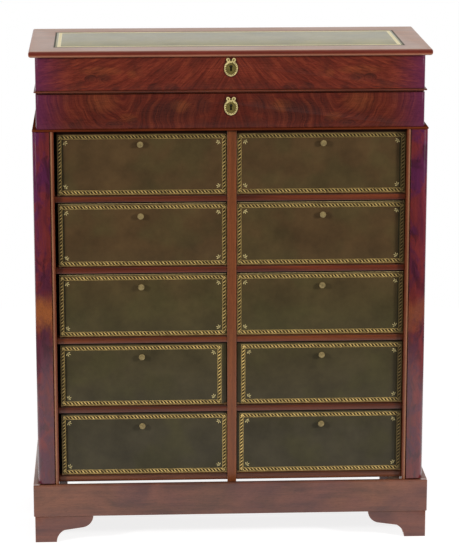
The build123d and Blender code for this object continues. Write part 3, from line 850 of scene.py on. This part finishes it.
# Line widths that a border keeps free of strokes
BAND_FREE_LINES = 2.6
BUD_ALONG_SHARE = 0.26
BUD_UP_SHARE = 0.36
BUD_SHARE = 0.07
CORNER_DOT_SHARE = 0.26
DOT_STEPS = 6
# Petals of a sprig as (lean in degrees, length, half width), in shares of the sprig
SPRIG_PETALS = ((-66, 0.70, 0.10), (-22, 0.90, 0.09), (22, 0.90, 0.09), (66, 0.70, 0.10))
SPRIG_DOT_SHARE = 0.11
PETAL_MIDDLE_SHARE = 0.62
PETAL_STEPS = 8


def stroke_outline(length, height):
    """A slanting S-shaped stroke about the origin, falling to the right."""
    left, right = [], []
    for step in range(STROKE_STEPS + 1):
        share = step / STROKE_STEPS
        along = (share - 0.5) * length
        up = math.cos(math.pi * share) * height * STROKE_LEAN_SHARE
        fat = max(STROKE_TIP_SHARE, math.sin(math.pi * share)) * height * STROKE_FAT_SHARE
        left.append((along + fat, up + fat))
        right.append((along - fat, up - fat))
    return right + left[::-1]


def dot_outline(middle, radius):
    """A small round dot."""
    return oval_points(middle, radius, radius, DOT_STEPS)


def turned(points, angle, shift):
    """Turns an outline about the origin and moves it."""
    cosine, sine = math.cos(angle), math.sin(angle)
    return [(shift[0] + x * cosine - y * sine, shift[1] + x * sine + y * cosine) for x, y in points]


def corners_of(low, high, inset=0.0):
    """The corners of a rectangle that is drawn in by an inset."""
    x0, y0 = low[0] + inset, low[1] + inset
    x1, y1 = high[0] - inset, high[1] - inset
    return [(x0, y0), (x1, y0), (x1, y1), (x0, y1)]


def sides_of(corners):
    """The four sides of a rectangle, each as the places of its two corners."""
    return [(index, (index + 1) % len(corners)) for index in range(len(corners))]


def line_outlines(low, high, width, inset=0.0):
    """The four strips of a rectangular line, mitred at the corners."""
    outer = corners_of(low, high, inset)
    inner = corners_of(low, high, inset + width)
    return [[outer[start], outer[end], inner[end], inner[start]] for start, end in sides_of(outer)]


def band_outlines(low, high, band, pitch, line):
    """A rectangular border: two lines with a chain of strokes and dots between them."""
    tiles = line_outlines(low, high, line) + line_outlines(low, high, line, band - line)
    corners = [Vector(corner) for corner in corners_of(low, high, band / 2)]
    room = band - BAND_FREE_LINES * line
    for start, end in sides_of(corners):
        run = corners[end] - corners[start]
        count = max(1, round(run.length / pitch))
        angle = math.atan2(run.y, run.x)
        step = run.length / count
        outlines = [stroke_outline(step, room)]
        for side in (-1, 1):
            bud = (side * step * BUD_ALONG_SHARE, side * room * BUD_UP_SHARE)
            outlines.append(dot_outline(bud, room * BUD_SHARE))
        for spot in range(count):
            middle = corners[start] + run * ((spot + 0.5) / count)
            tiles += [turned(outline, angle, middle) for outline in outlines]
        tiles.append(dot_outline(corners[start], room * CORNER_DOT_SHARE))
    return tiles


def sprig_outlines(corner, inward, size):
    """A corner sprig: a dot and four petals that fan inward."""
    facing = math.atan2(inward[1], inward[0])
    tiles = [dot_outline(corner, size * SPRIG_DOT_SHARE)]
    for lean, length, fat in SPRIG_PETALS:
        middle = size * length * PETAL_MIDDLE_SHARE
        petal = oval_points((middle, 0.0), size * length - middle, size * fat, PETAL_STEPS)
        tiles.append(turned(petal, facing + math.radians(lean), corner))
    return tiles


def corner_sprigs(low, high, inset, size):
    """The four corner sprigs of one panel."""
    tiles = []
    for x, inward_x in ((low[0] + inset, 1), (high[0] - inset, -1)):
        for y, inward_y in ((low[1] + inset, 1), (high[1] - inset, -1)):
            tiles += sprig_outlines((x, y), (inward_x, inward_y), size)
    return tiles


def tooled_panel(name, layers, place, body):
    """Joins the tiles of one panel into one piece; layers holds (tiles, relief, coat) triples."""
    shape = bmesh.new()
    for index, (tiles, relief, _) in enumerate(layers):
        before = len(shape.faces)
        for tile in tiles:
            prism(shape, tile, place, relief, TILE_SINK)
        shape.faces.ensure_lookup_table()
        for face in shape.faces[before:]:
            face.material_index = index
    bmesh.ops.recalc_face_normals(shape, faces=shape.faces)
    add_piece(name, mesh_of(name, shape), [coat for _, _, coat in layers], body, "gilt_brass")


# Operators


class CHEST_OT_finish_carcass(bpy.types.Operator):
    """Polish the fixed boards and round their edges, in pale wear with painted highlight or in painted
    shade of the gaps
    """

    bl_idname = "chest.finish_carcass"
    bl_label = "Finish the carcass"

    def execute(self, context):
        finish = context.scene.chest_finish
        sizes = context.scene.chest_mounts
        # Pale edge coat: wear with painted highlight on the board edges
        edge_coat = toned_wood("wear_highlight_edge", "X", finish.edge_coat)
        level = mahogany("mahogany_level", "X", finish, 0.4, 0.05)
        upright = mahogany("mahogany_upright", "Z", finish)
        deep = mahogany("mahogany_deep", "Y", finish)
        waist = mahogany("mahogany_waist", "X", finish, 0.5, 0.0)
        waist.wire("Specular IOR Level", 0.0)
        pale = toned_wood("pale_upright", "Z", finish.pale, 0.42, 0.0)
        base = faded_wood("mahogany_base", finish.base, finish.plum)
        strips = strip_wood("strip_upright", finish)
        oak = toned_wood("oak_upright", "Z", finish.oak, 0.55)
        shelf = shelf_wood("shelf_mahogany", finish)
        # Shelf edges carry painted shade of the gaps above and below them
        soften("shelves", shelf, toned_wood("shelf_gap_shade", "X", finish.gap_shade), sizes.gap_shade_edge)
        boards = (
            (("waist_board",), waist, edge_coat),
            (("tier_sides",), deep, edge_coat),
            (("drawer_divider",), level, level),
            (("plinth", "front_feet", "rear_feet"), base, edge_coat),
            (("center_stile",), pale, edge_coat),
            (("front_posts",), strips, edge_coat),
            (("side_panels", "rear_posts"), upright, edge_coat),
            (("back_boards", "center_partition", "corner_blocks"), oak, oak),
        )
        for names, coat, rim in boards:
            for name in names:
                soften(name, coat, rim, sizes.edge)
        paint("stile_pivots", metal("iron", finish.iron, 0.4, 0.8, 0.45))
        return {"FINISHED"}


class CHEST_OT_finish_stiles(bpy.types.Operator):
    """Veneer the two swinging stiles"""

    bl_idname = "chest.finish_stiles"
    bl_label = "Finish the stiles"

    def execute(self, context):
        finish = context.scene.chest_finish
        # Slightly lighter stile edges: wear with painted highlight
        edge_coat = toned_wood("stile_edge", "Z", finish.stile_light)
        for side in SIDES:
            soften(f"{side}_stile", stile_veneer(side, finish), edge_coat, context.scene.chest_mounts.edge)
        return {"FINISHED"}


class CHEST_OT_finish_drawers(bpy.types.Operator):
    """Veneer the drawer fronts and finish their boxes and locks"""

    bl_idname = "chest.finish_drawers"
    bl_label = "Finish the drawers"

    def execute(self, context):
        finish = context.scene.chest_finish
        sizes = context.scene.chest_mounts
        # Painted shade of the gaps round the drawer fronts, on their edges
        gap = toned_wood("drawer_edge", "X", finish.gap_shade)
        oak = toned_wood("oak_level", "Y", finish.oak, 0.55)
        iron = metal("lock_iron", finish.iron, 0.4, 0.8, 0.4)
        for tier in TIERS:
            soften(f"{tier}_drawer_front", flame_veneer(tier, finish), gap, sizes.gap_shade_edge)
            soften(f"{tier}_drawer_box", oak, oak, sizes.edge)
            paint(f"{tier}_lock", lock_iron(f"{tier}_lock", finish))
            paint(f"{tier}_lock_bolt", iron)
        return {"FINISHED"}


class CHEST_OT_dress_top(bpy.types.Operator):
    """Polish the top and tool its leather"""

    bl_idname = "chest.dress_top"
    bl_label = "Dress the top"

    def execute(self, context):
        finish = context.scene.chest_finish
        sizes = context.scene.chest_tooling
        # The top's edges take the pale coat of wear and painted highlight
        edge_coat = toned_wood("top_edge", "X", finish.edge_coat)
        soften("top_board", top_wood("top_mahogany", finish), edge_coat, context.scene.chest_mounts.edge)
        hide = leather("top_leather", finish.top_leather, TOP_PEBBLE, 0.3, 0.5)
        soften("top_leather", hide, hide, sizes.top_edge)
        dark = leather("top_rim_leather", shaded(finish.top_leather, 0.22), TOP_PEBBLE, 0.55, 0.2)
        ground = metal("top_band_gilt", finish.top_gilt, 0.75, 0.3, 0.35)
        gilt = metal("top_gilt", finish.top_gilt, 0.85, 0.3, 0.3)
        low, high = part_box("top_leather")
        margin = Vector((sizes.top_margin, sizes.top_margin, 0))
        border = (low + margin, high - margin)
        rim = line_outlines(low, high, sizes.top_rim)
        rim.append(corners_of((low.x, low.y + sizes.top_rim), (high.x, border[0].y)))
        band = line_outlines(*border, sizes.top_band)
        tiles = band_outlines(*border, sizes.top_band, sizes.top_pitch, sizes.top_line)

        def place(point, lift):
            return (point[0], point[1], high.z + lift)

        layers = [
            (rim, sizes.relief / 4, dark),
            (band, sizes.relief / 4, ground),
            (tiles, sizes.relief, gilt),
        ]
        tooled_panel("top_gilding", layers, place, "carcass")
        return {"FINISHED"}


# Fronts whose border was tooled further in from one edge
LEFT_MARGINS = {"carton_right_4": 10.2 * MM, "carton_right_5": 5.8 * MM}
RIGHT_MARGINS = {"carton_left_4": 12.4 * MM}
# Rows whose fronts have a pale gilt line along the upper edge, which also stands as a painted highlight
# of that lit edge
LIT_EDGE_ROWS = (2, 3)
# Heights between which the box leather turns from grey green to brown
LEATHER_HEIGHTS = (0.2, 1.0)
# Shares of the gilt brass in the sprigs, where they are clean and where they are tarnished
SPRIG_CLEAN = 0.85
SPRIG_TARNISHED = 0.45


class CHEST_OT_dress_boxes(bpy.types.Operator):
    """Cover the ten drop fronts with leather and tool their borders"""

    bl_idname = "chest.dress_boxes"
    bl_label = "Dress the box fronts"

    def execute(self, context):
        finish = context.scene.chest_finish
        sizes = context.scene.chest_tooling

        def by_row(coat):
            tones = (finish.leather_low, finish.leather_middle, finish.leather_high)
            toned = coat.z.portion(*LEATHER_HEIGHTS).ramp(*zip((0.1, 0.5, 0.72), tones))
            mossy = coat.noise(coat.coords, 9.0, 2.0).ease(0.45, 0.65) * 0.36
            return coat.blend(mossy, toned, finish.leather_moss)

        hide = leather("box_leather", by_row, BOX_PEBBLE, 0.5, 0.25)
        # Painted shade of the gaps round the box fronts
        gap_shade = leather("gap_shade_leather", finish.gap_shade, BOX_PEBBLE, 0.55, 0.1)
        sprig_gold = shaded(finish.gilt_brass, SPRIG_CLEAN)
        coats = {
            "ground": leather("band_leather", finish.band_ground, BOX_PEBBLE, 0.55, 0.2),
            "gap_shade": gap_shade,
            # Painted shadow of the stile strips on the leather
            "strip_shadow": leather("strip_shadow_leather", shaded(finish.leather_middle, 0.5), BOX_PEBBLE, 0.55, 0.2),
            "gilt": box_gilding(finish, sizes),
            "dim": metal("dim_gilt", finish.dim_gilt, 0.6, 0.2, 0.45),
            "pale": metal("sprig_gilt", sprig_gold, SPRIG_TARNISHED / SPRIG_CLEAN, 0.2, 0.45),
        }
        tray = toned_wood("tray_wood", "Y", finish.oak, 0.6)
        for name, row in CARTONS:
            # The front's edges carry painted shade of the gaps round it
            soften(f"{name}_flap", hide, gap_shade, sizes.box_edge)
            soften(f"{name}_tray", tray, tray, context.scene.chest_mounts.tray_edge)
            self.tool(name, row, sizes, coats)
        return {"FINISHED"}

    def tool(self, name, row, sizes, coats):
        """Border, edge lines, corner sprigs, painted shade and painted highlight of one box front."""
        box_low, box_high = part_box(f"{name}_flap")
        head = sizes.box_head + (sizes.box_drop if row == 1 else 0)
        low = (box_low.x + sizes.box_side + LEFT_MARGINS.get(name, 0), box_low.z + sizes.box_foot)
        high = (box_high.x - sizes.box_side - RIGHT_MARGINS.get(name, 0), box_high.z - head)
        left, right = box_low.x + sizes.box_edge, box_high.x - sizes.box_edge
        upper, lower = box_high.z - sizes.box_edge, box_low.z + sizes.box_edge
        outer = low[0] + sizes.box_band if box_low.x < 0 else high[0] - sizes.box_band - sizes.box_strip_shadow

        def place(point, lift):
            return (point[0], box_low.y - lift, point[1])

        # Painted shadow of the stile strip, inside the outer border
        shade = corners_of((outer, low[1]), (outer + sizes.box_strip_shadow, high[1]))
        foot = corners_of((left, lower), (right, low[1] - sizes.line / 2))
        band = line_outlines(low, high, sizes.box_band)
        tiles = band_outlines(low, high, sizes.box_band, sizes.box_pitch, sizes.line)
        sprigs = corner_sprigs(low, high, sizes.box_band + sizes.sprig_inset, sizes.sprig)
        layers = [
            ([shade], sizes.relief / 8, coats["strip_shadow"]),
            (band, sizes.relief / 4, coats["ground"]),
            (tiles, sizes.relief, coats["gilt"]),
            (sprigs, sizes.relief, coats["pale"]),
            ([foot], sizes.relief / 4, coats["dim"]),
        ]
        if row == 1:
            # Painted shade across the head of a first-row front, where the waist board above shades it
            dark = corners_of((left, high[1] + sizes.box_head / 2), (right, upper))
            layers.append(([dark], sizes.relief / 4, coats["gap_shade"]))
        elif row in LIT_EDGE_ROWS:
            # Pale gilt line along the upper edge, also a painted highlight of the lit edge
            line = corners_of((left, upper - sizes.box_edge / 2), (right, upper))
            layers.append(([line], sizes.relief, coats["pale"]))
        tooled_panel(f"{name}_gilding", layers, place, f"{name}_front")


# A knob from its rose to its crown, as (share of the length, share of the radius)
KNOB_PROFILE_SHARES = (
    (0.00, 0.64),
    (0.06, 0.66),
    (0.11, 0.56),
    (0.14, 0.42),
    (0.24, 0.36),
    (0.40, 0.38),
    (0.46, 0.52),
    (0.52, 0.84),
    (0.60, 0.97),
    (0.70, 1.00),
    (0.80, 0.98),
    (0.89, 0.90),
    (0.95, 0.74),
    (0.985, 0.50),
    (1.00, 0.20),
)


def lathe(profile, count):
    """A turned form about the Y axis; the profile holds (forward, radius) pairs."""
    shape = bmesh.new()
    rings = []
    for forward, radius in profile:
        points = oval_points((0.0, 0.0), radius, radius, count)
        rings.append([shape.verts.new((x, -forward, z)) for x, z in points])
    for near, far in zip(rings, rings[1:]):
        for step in range(count):
            after = (step + 1) % count
            shape.faces.new((near[step], near[after], far[after], far[step]))
    shape.faces.new(rings[0][::-1])
    shape.faces.new(rings[-1])
    bmesh.ops.recalc_face_normals(shape, faces=shape.faces)
    return shape


class CHEST_OT_turn_knobs(bpy.types.Operator):
    """Turn the ten brass knobs"""

    bl_idname = "chest.turn_knobs"
    bl_label = "Turn the knobs"

    def execute(self, context):
        finish = context.scene.chest_finish
        brass = metal("knob_brass", finish.knob_brass, 0.6, 0.25, 0.4)
        for carton, _ in CARTONS:
            name = f"{carton}_knob"
            low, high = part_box(name)
            length = high.y - low.y
            radius = (high.z - low.z) / 2
            profile = [(length * share, radius * wide) for share, wide in KNOB_PROFILE_SHARES]
            shape = lathe(profile, context.scene.chest_mounts.turns)
            middle = Vector(((low.x + high.x) / 2, high.y, (low.z + high.z) / 2))
            bmesh.ops.translate(shape, verts=shape.verts, vec=middle)
            mesh = mesh_of(f"{name}_turned", shape)
            mesh.shade_smooth()
            add_piece(f"{name}_turned", mesh, (brass,), f"{carton}_front", "knob_brass", (name,))
        return {"FINISHED"}


# Escutcheons, drawn lying flat, in shares of half the plate's width

KEYHOLE_EYE_SHARE = 0.235
KEYHOLE_SLOT_SHARE = 0.1
KEYHOLE_FOOT_SHARE = 0.2
KEYHOLE_DROP_SHARE = 0.676
KEYHOLE_STEPS = 16
KEYHOLE_LIP = 0.3 * MM
PLATE_HEIGHT_SHARE = 1.147
PLATE_DROP_SHARE = 0.324
PLATE_ROUNDING = 0.15 * MM
PLATE_STEPS = 64
FIELD_SHARE = 0.95
# Powers that square the plate's shoulders and point its foot
SHOULDER_POWERS = (0.82, 0.92)
FOOT_POWERS = (1.06, 1.0)
# Places of an escutcheon's two metals in its list of materials
BRIGHT = 0
FIELD = 1
# Rings as (share of the plate, share of the ribbon's radius, metal)
RINGS = ((0.93, 0.55, BRIGHT), (0.64, 0.3, FIELD))
RING_STEPS = 40
LEAF_RING_SHARE = 0.86
LEAF_TWIST = 0.5
# Radii of a rim leaf, of the drop and of the bow's knot, in shares of a bead
LEAF_SHARES = (1.35, 0.7, 0.8)
DROP_SHARES = (1.1, 1.0, 0.8)
KNOT_SHARES = (1.3, 1.0, 0.6)
BOW_LONG_SHARE = 0.26
BOW_WIDE_SHARE = 0.20
BOW_OUT_SHARE = 0.40
BOW_LEAN = math.radians(26)
BOW_STEPS = 10
# Tails of the bow as (share outward, loop lengths down, share of the ribbon's radius)
TAIL_POINTS = ((0.26, 1.0, 0.9), (0.40, 1.7, 1.0), (0.62, 2.4, 0.7))
# Loop lengths from the middle of the bow down to its knot
KNOT_DROP = 1.25
# Heights of the drop, the bow's loops and their hollows, and the hollows' depth, in plate thicknesses
DROP_LIFT = 0.8
LOOP_LIFT = 1.1
HOLLOW_LIFT = 0.6
HOLLOW_DEPTH = 0.5


def keyhole_points(half, middle):
    """Outline of the keyhole; half is half the plate's width, middle is the centre of its eye."""
    eye = half * KEYHOLE_EYE_SHARE
    foot = half * KEYHOLE_FOOT_SHARE
    low = middle[1] - half * KEYHOLE_DROP_SHARE
    opening = math.asin(KEYHOLE_SLOT_SHARE / KEYHOLE_EYE_SHARE)
    points = []
    for step in range(KEYHOLE_STEPS + 1):
        turn = -math.pi / 2 + opening + (2 * math.pi - 2 * opening) * step / KEYHOLE_STEPS
        points.append((middle[0] + eye * math.cos(turn), middle[1] + eye * math.sin(turn)))
    return points + [(middle[0] - foot, low), (middle[0] + foot, low)]


def plate_point(middle, wide, tall, turn):
    """A point on the escutcheon's outline, which is squarer at its shoulders and pointed below."""
    x, y = math.cos(turn), math.sin(turn)
    across, along = SHOULDER_POWERS if y > 0 else FOOT_POWERS
    return (
        middle[0] + wide * math.copysign(abs(x) ** across, x),
        middle[1] + tall * math.copysign(abs(y) ** along, y),
    )


def plate_points(middle, wide, tall, count):
    """Points round the escutcheon's outline."""
    return [plate_point(middle, wide, tall, 2 * math.pi * step / count) for step in range(count)]


def filled_outline(outlines, thickness, rounding):
    """A flat plate with holes, as a mesh in the XY plane."""
    curve = bpy.data.curves.new("plate_outline", "CURVE")
    curve.dimensions = "2D"
    curve.fill_mode = "BOTH"
    curve.extrude = thickness / 2 - rounding
    curve.bevel_depth = rounding
    curve.bevel_resolution = 2
    curve.offset = -rounding
    for outline in outlines:
        spline = curve.splines.new("POLY")
        spline.points.add(len(outline) - 1)
        for point, (x, y) in zip(spline.points, outline):
            point.co = (x, y, 0, 1)
        spline.use_cyclic_u = True
    return meshed(curve)


def meshed(curve):
    """The mesh of a curve; the curve itself is thrown away."""
    holder = bpy.data.objects.new("curve_holder", curve)
    bpy.context.scene.collection.objects.link(holder)
    graph = bpy.context.evaluated_depsgraph_get()
    mesh = bpy.data.meshes.new_from_object(holder.evaluated_get(graph))
    bpy.data.objects.remove(holder)
    bpy.data.curves.remove(curve)
    return mesh


def wire_mesh(points, radius, cyclic=True):
    """A smooth round wire through points given as (x, y, z, thickness share)."""
    curve = bpy.data.curves.new("wire", "CURVE")
    curve.dimensions = "3D"
    curve.bevel_depth = radius
    curve.bevel_resolution = 3
    curve.use_fill_caps = True
    spline = curve.splines.new("NURBS")
    spline.points.add(len(points) - 1)
    for point, (x, y, z, share) in zip(spline.points, points):
        point.co = (x, y, z, 1)
        point.radius = share
    spline.use_cyclic_u = cyclic
    spline.order_u = 3
    spline.use_endpoint_u = not cyclic
    spline.resolution_u = 6
    return meshed(curve)


def gather(shape, mesh, index):
    """Moves a mesh into a growing shape, with one material index."""
    before = len(shape.faces)
    shape.from_mesh(mesh)
    shape.faces.ensure_lookup_table()
    for face in shape.faces[before:]:
        face.material_index = index
        face.smooth = True
    bpy.data.meshes.remove(mesh)


def leaf_ball(shape, spot, radii, index, turn=0.0):
    """Adds a small rounded leaf, as a squashed ball."""
    placed = Matrix.Translation(spot) @ Matrix.Rotation(turn, 4, "Z") @ Matrix.Diagonal((*radii, 1))
    made = bmesh.ops.create_icosphere(shape, subdivisions=2, radius=1.0, matrix=placed)
    for vertex in made["verts"]:
        for face in vertex.link_faces:
            face.material_index = index
            face.smooth = True


class CHEST_OT_dress_escutcheons(bpy.types.Operator):
    """Chase the two gilt escutcheons"""

    bl_idname = "chest.dress_escutcheons"
    bl_label = "Dress the escutcheons"

    def execute(self, context):
        finish = context.scene.chest_finish
        bright = metal("gilt_brass", finish.gilt_brass, 0.5, 0.3, 0.3, 5 * MM)
        field = metal("gilt_field", finish.field_brass, 0.6, 0.2, 0.4)
        for tier in TIERS:
            name = f"{tier}_escutcheon"
            mesh = mesh_of(f"{name}_chased", self.chase(name, context.scene.chest_mounts))
            add_piece(f"{name}_chased", mesh, (bright, field), f"{tier}_drawer", "gilt_brass", (name,))
        return {"FINISHED"}

    def chase(self, name, sizes):
        """One escutcheon: field, keyhole lip, leafy rim, ribbon bow and drop."""
        low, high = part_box(name)
        half = (high.x - low.x) / 2
        tall = half * PLATE_HEIGHT_SHARE
        middle = (0.0, low.z + tall)
        keyhole = keyhole_points(half, (0.0, middle[1] + half * PLATE_DROP_SHARE))
        thick = (high.y - low.y) / 2
        shape = bmesh.new()
        rim = plate_points(middle, half * FIELD_SHARE, tall * FIELD_SHARE, PLATE_STEPS)
        plate = filled_outline([rim, keyhole], thick, PLATE_ROUNDING)
        plate.transform(Matrix.Translation((0, 0, thick / 2)))
        gather(shape, plate, FIELD)
        gather(shape, wire_mesh([(x, y, thick, 1.0) for x, y in keyhole], KEYHOLE_LIP), FIELD)
        for share, radius, index in RINGS:
            ring = plate_points(middle, half * share, tall * share, RING_STEPS)
            gather(shape, wire_mesh([(x, y, thick, 1.0) for x, y in ring], sizes.wire * radius), index)
        radii = [sizes.bead * share for share in LEAF_SHARES]
        for step in range(sizes.beads):
            turn = 2 * math.pi * step / sizes.beads
            spot = plate_point(middle, half * LEAF_RING_SHARE, tall * LEAF_RING_SHARE, turn)
            facing = math.atan2(math.sin(turn) * half, math.cos(turn) * tall)
            leaf_ball(shape, (*spot, thick), radii, BRIGHT, facing + LEAF_TWIST)
        self.tie_bow(shape, half, thick, high.z, sizes)
        radii = [sizes.bead * share for share in DROP_SHARES]
        leaf_ball(shape, (0, low.z + sizes.bead, thick * DROP_LIFT), radii, BRIGHT)
        shape.transform(Matrix.Translation((0, high.y, 0)) @ Matrix.Rotation(math.pi / 2, 4, "X"))
        return shape

    def tie_bow(self, shape, half, thick, top, sizes):
        """Two ribbon loops that lean outward over the plate, with their hollows, tails and knot."""
        long = half * BOW_LONG_SHARE
        wide = half * BOW_WIDE_SHARE
        out = half * BOW_OUT_SHARE
        height = top - sizes.wire - long
        cosine, sine = math.cos(BOW_LEAN), math.sin(BOW_LEAN)
        for side in SIDES.values():
            loop = []
            for step in range(BOW_STEPS):
                turn = 2 * math.pi * step / BOW_STEPS
                x, y = wide * math.sin(turn), long * math.cos(turn)
                over = side * (out + x * cosine + y * sine)
                loop.append((over, height + y * cosine - x * sine, thick * LOOP_LIFT, 1.0))
            gather(shape, wire_mesh(loop, sizes.wire), BRIGHT)
            hollow = (wide, long, thick * HOLLOW_DEPTH)
            leaf_ball(shape, (side * out, height, thick * HOLLOW_LIFT), hollow, FIELD)
            tail = [
                (side * half * outward, height - long * down, thick, share)
                for outward, down, share in TAIL_POINTS
            ]
            gather(shape, wire_mesh(tail, sizes.wire, cyclic=False), BRIGHT)
        radii = [sizes.bead * share for share in KNOT_SHARES]
        leaf_ball(shape, (0, height - long * KNOT_DROP, thick), radii, BRIGHT)


# Stage

# Levels of the floor near the chest and far from it, to the camera, to polish and to the lamps
FLOOR_SHOWN = (0.82, 1.02)
FLOOR_MIRRORED = (0.92, 0.05)
FLOOR_PALE = (0.34, 0.08)
FLOOR_SEGMENTS = 96
FLOOR_GAP = 0.5 * MM
# Level of the surroundings that polish mirrors, in front, and behind or above
WORLD_MIRRORED = (0.05, 0.99)
WHITE = (1.0, 1.0, 1.0)
# Place of the right lamps, and the sizes of a lamp and of its glint, in metres
LAMP_PLACE = (3.6, -2.4, 1.9)
LAMP_SIZE = 0.5
GLINT_SIZE = 1.2
SENSOR_WIDTH = 36


def floor_material(reach):
    """A pale floor that keeps its shadow and, away from the chest, fades out of reflections."""
    material = bpy.data.materials.new("pale_floor")
    wiring = Wiring(material)
    wiring.tree.nodes.clear()
    coords = wiring.node("ShaderNodeTexCoord").outputs["Object"]
    away = wiring.node("ShaderNodeVectorMath", {0: coords}, operation="LENGTH").outputs["Value"]
    share = Level(wiring, away) / reach
    far = share.ease(0.45, 1.0)
    beyond = share.ease(0.54, 0.7)
    shown, thrown = wiring.rays()
    level = shown * far.spread(*FLOOR_SHOWN) + thrown * beyond.spread(*FLOOR_MIRRORED)
    speckle = wiring.noise(coords, 40.0).spread(0.96, 1.04)
    pale = far.spread(*FLOOR_PALE) * speckle
    diffuse = wiring.node("ShaderNodeBsdfDiffuse", {"Color": wiring.vector(pale, pale, pale)})
    glow = wiring.node("ShaderNodeEmission", {"Strength": level})
    both = wiring.node("ShaderNodeAddShader", {0: diffuse.outputs[0], 1: glow.outputs[0]})
    wiring.node("ShaderNodeOutputMaterial", {"Surface": both.outputs[0]})
    return material


def light_world(ambient):
    """White behind and above, dim in front; white to the camera."""
    world = bpy.data.worlds.new("studio")
    bpy.context.scene.world = world
    wiring = Wiring(world)
    wiring.tree.nodes.clear()
    _, y, z = wiring.split(wiring.node("ShaderNodeTexCoord").outputs["Generated"])
    lit = wiring.most(y.ease(0.2, 0.75), z.ease(0.35, 0.85))
    shown, thrown = wiring.rays()
    level = thrown * lit.spread(*WORLD_MIRRORED) + (1.0 - thrown) * ambient
    inputs = {"Color": WHITE, "Strength": wiring.most(level, shown)}
    background = wiring.node("ShaderNodeBackground", inputs)
    wiring.node("ShaderNodeOutputWorld", {"Surface": background.outputs[0]})


def add_lamp(name, place, target, size, power, glossy):
    """A square soft lamp that faces a point; glossy says whether polish mirrors it."""
    lamp = bpy.data.lights.new(name, "AREA")
    lamp.size = size
    lamp.energy = power
    holder = bpy.data.objects.new(name, lamp)
    holder.location = place
    holder.rotation_euler = (target - place).to_track_quat("-Z", "Y").to_euler()
    holder.visible_glossy = glossy
    bpy.context.scene.collection.objects.link(holder)


class CHEST_OT_set_stage(bpy.types.Operator):
    """Lay the floor, light it and set the camera"""

    bl_idname = "chest.set_stage"
    bl_label = "Set the stage"

    def execute(self, context):
        scene = context.scene
        stage = scene.chest_stage
        scene.view_settings.view_transform = "Standard"
        light_world(stage.ambient)
        self.lay_floor(scene, stage.floor_reach)
        target = (cad_box[0] + cad_box[1]) / 2
        for side, power in (("left", stage.left_lamp), ("right", stage.right_lamp)):
            place = Vector(LAMP_PLACE)
            place.x *= SIDES[side]
            add_lamp(f"{side}_lamp", place, target, LAMP_SIZE, power, False)
            add_lamp(f"{side}_glint", place, target, GLINT_SIZE, power * stage.glint, True)
        self.set_camera(scene, stage)
        return {"FINISHED"}

    def lay_floor(self, scene, reach):
        """A round floor just below the feet."""
        shape = bmesh.new()
        bmesh.ops.create_circle(shape, cap_ends=True, segments=FLOOR_SEGMENTS, radius=reach)
        mesh = mesh_of("floor", shape)
        mesh.materials.append(floor_material(reach))
        floor = bpy.data.objects.new("floor", mesh)
        floor.location.z = cad_box[0].z - FLOOR_GAP
        scene.collection.objects.link(floor)

    def set_camera(self, scene, stage):
        """The camera in front, a little above and to the left."""
        lens = bpy.data.cameras.new("camera")
        lens.sensor_width = SENSOR_WIDTH
        lens.lens = stage.lens
        camera = bpy.data.objects.new("camera", lens)
        camera.location = stage.camera
        level = math.cos(stage.pitch)
        forward = (math.sin(stage.yaw) * level, math.cos(stage.yaw) * level, -math.sin(stage.pitch))
        camera.rotation_euler = Vector(forward).to_track_quat("-Z", "Y").to_euler()
        scene.collection.objects.link(camera)
        scene.camera = camera


OPERATORS = (
    CHEST_OT_finish_carcass,
    CHEST_OT_finish_stiles,
    CHEST_OT_finish_drawers,
    CHEST_OT_dress_top,
    CHEST_OT_dress_boxes,
    CHEST_OT_turn_knobs,
    CHEST_OT_dress_escutcheons,
    CHEST_OT_set_stage,
)


class CHEST_PT_panel(bpy.types.Panel):
    """Lists the steps that dress the chest"""

    bl_idname = "CHEST_PT_panel"
    bl_label = "Filing chest"
    bl_space_type = "VIEW_3D"
    bl_region_type = "UI"
    bl_category = "Chest"

    def draw(self, context):
        for operator in OPERATORS:
            self.layout.operator(operator.bl_idname)


SETTINGS = {
    "chest_finish": ChestFinish,
    "chest_tooling": ToolingSizes,
    "chest_mounts": MountSizes,
    "chest_stage": StageSettings,
}


def register():
    """Registers the settings, the steps and the panel."""
    for name, group in SETTINGS.items():
        bpy.utils.register_class(group)
        setattr(bpy.types.Scene, name, PointerProperty(type=group))
    for operator in OPERATORS:
        bpy.utils.register_class(operator)
    bpy.utils.register_class(CHEST_PT_panel)


def unregister():
    """Takes back what register did."""
    bpy.utils.unregister_class(CHEST_PT_panel)
    for operator in reversed(OPERATORS):
        bpy.utils.unregister_class(operator)
    for name, group in SETTINGS.items():
        delattr(bpy.types.Scene, name)
        bpy.utils.unregister_class(group)


def main():
    """Dresses the chest step by step."""
    register()
    bpy.ops.chest.finish_carcass()
    bpy.ops.chest.finish_stiles()
    bpy.ops.chest.finish_drawers()
    bpy.ops.chest.dress_top()
    bpy.ops.chest.dress_boxes()
    bpy.ops.chest.turn_knobs()
    bpy.ops.chest.dress_escutcheons()
    bpy.ops.chest.set_stage()


if __name__ == "__main__":
    main()
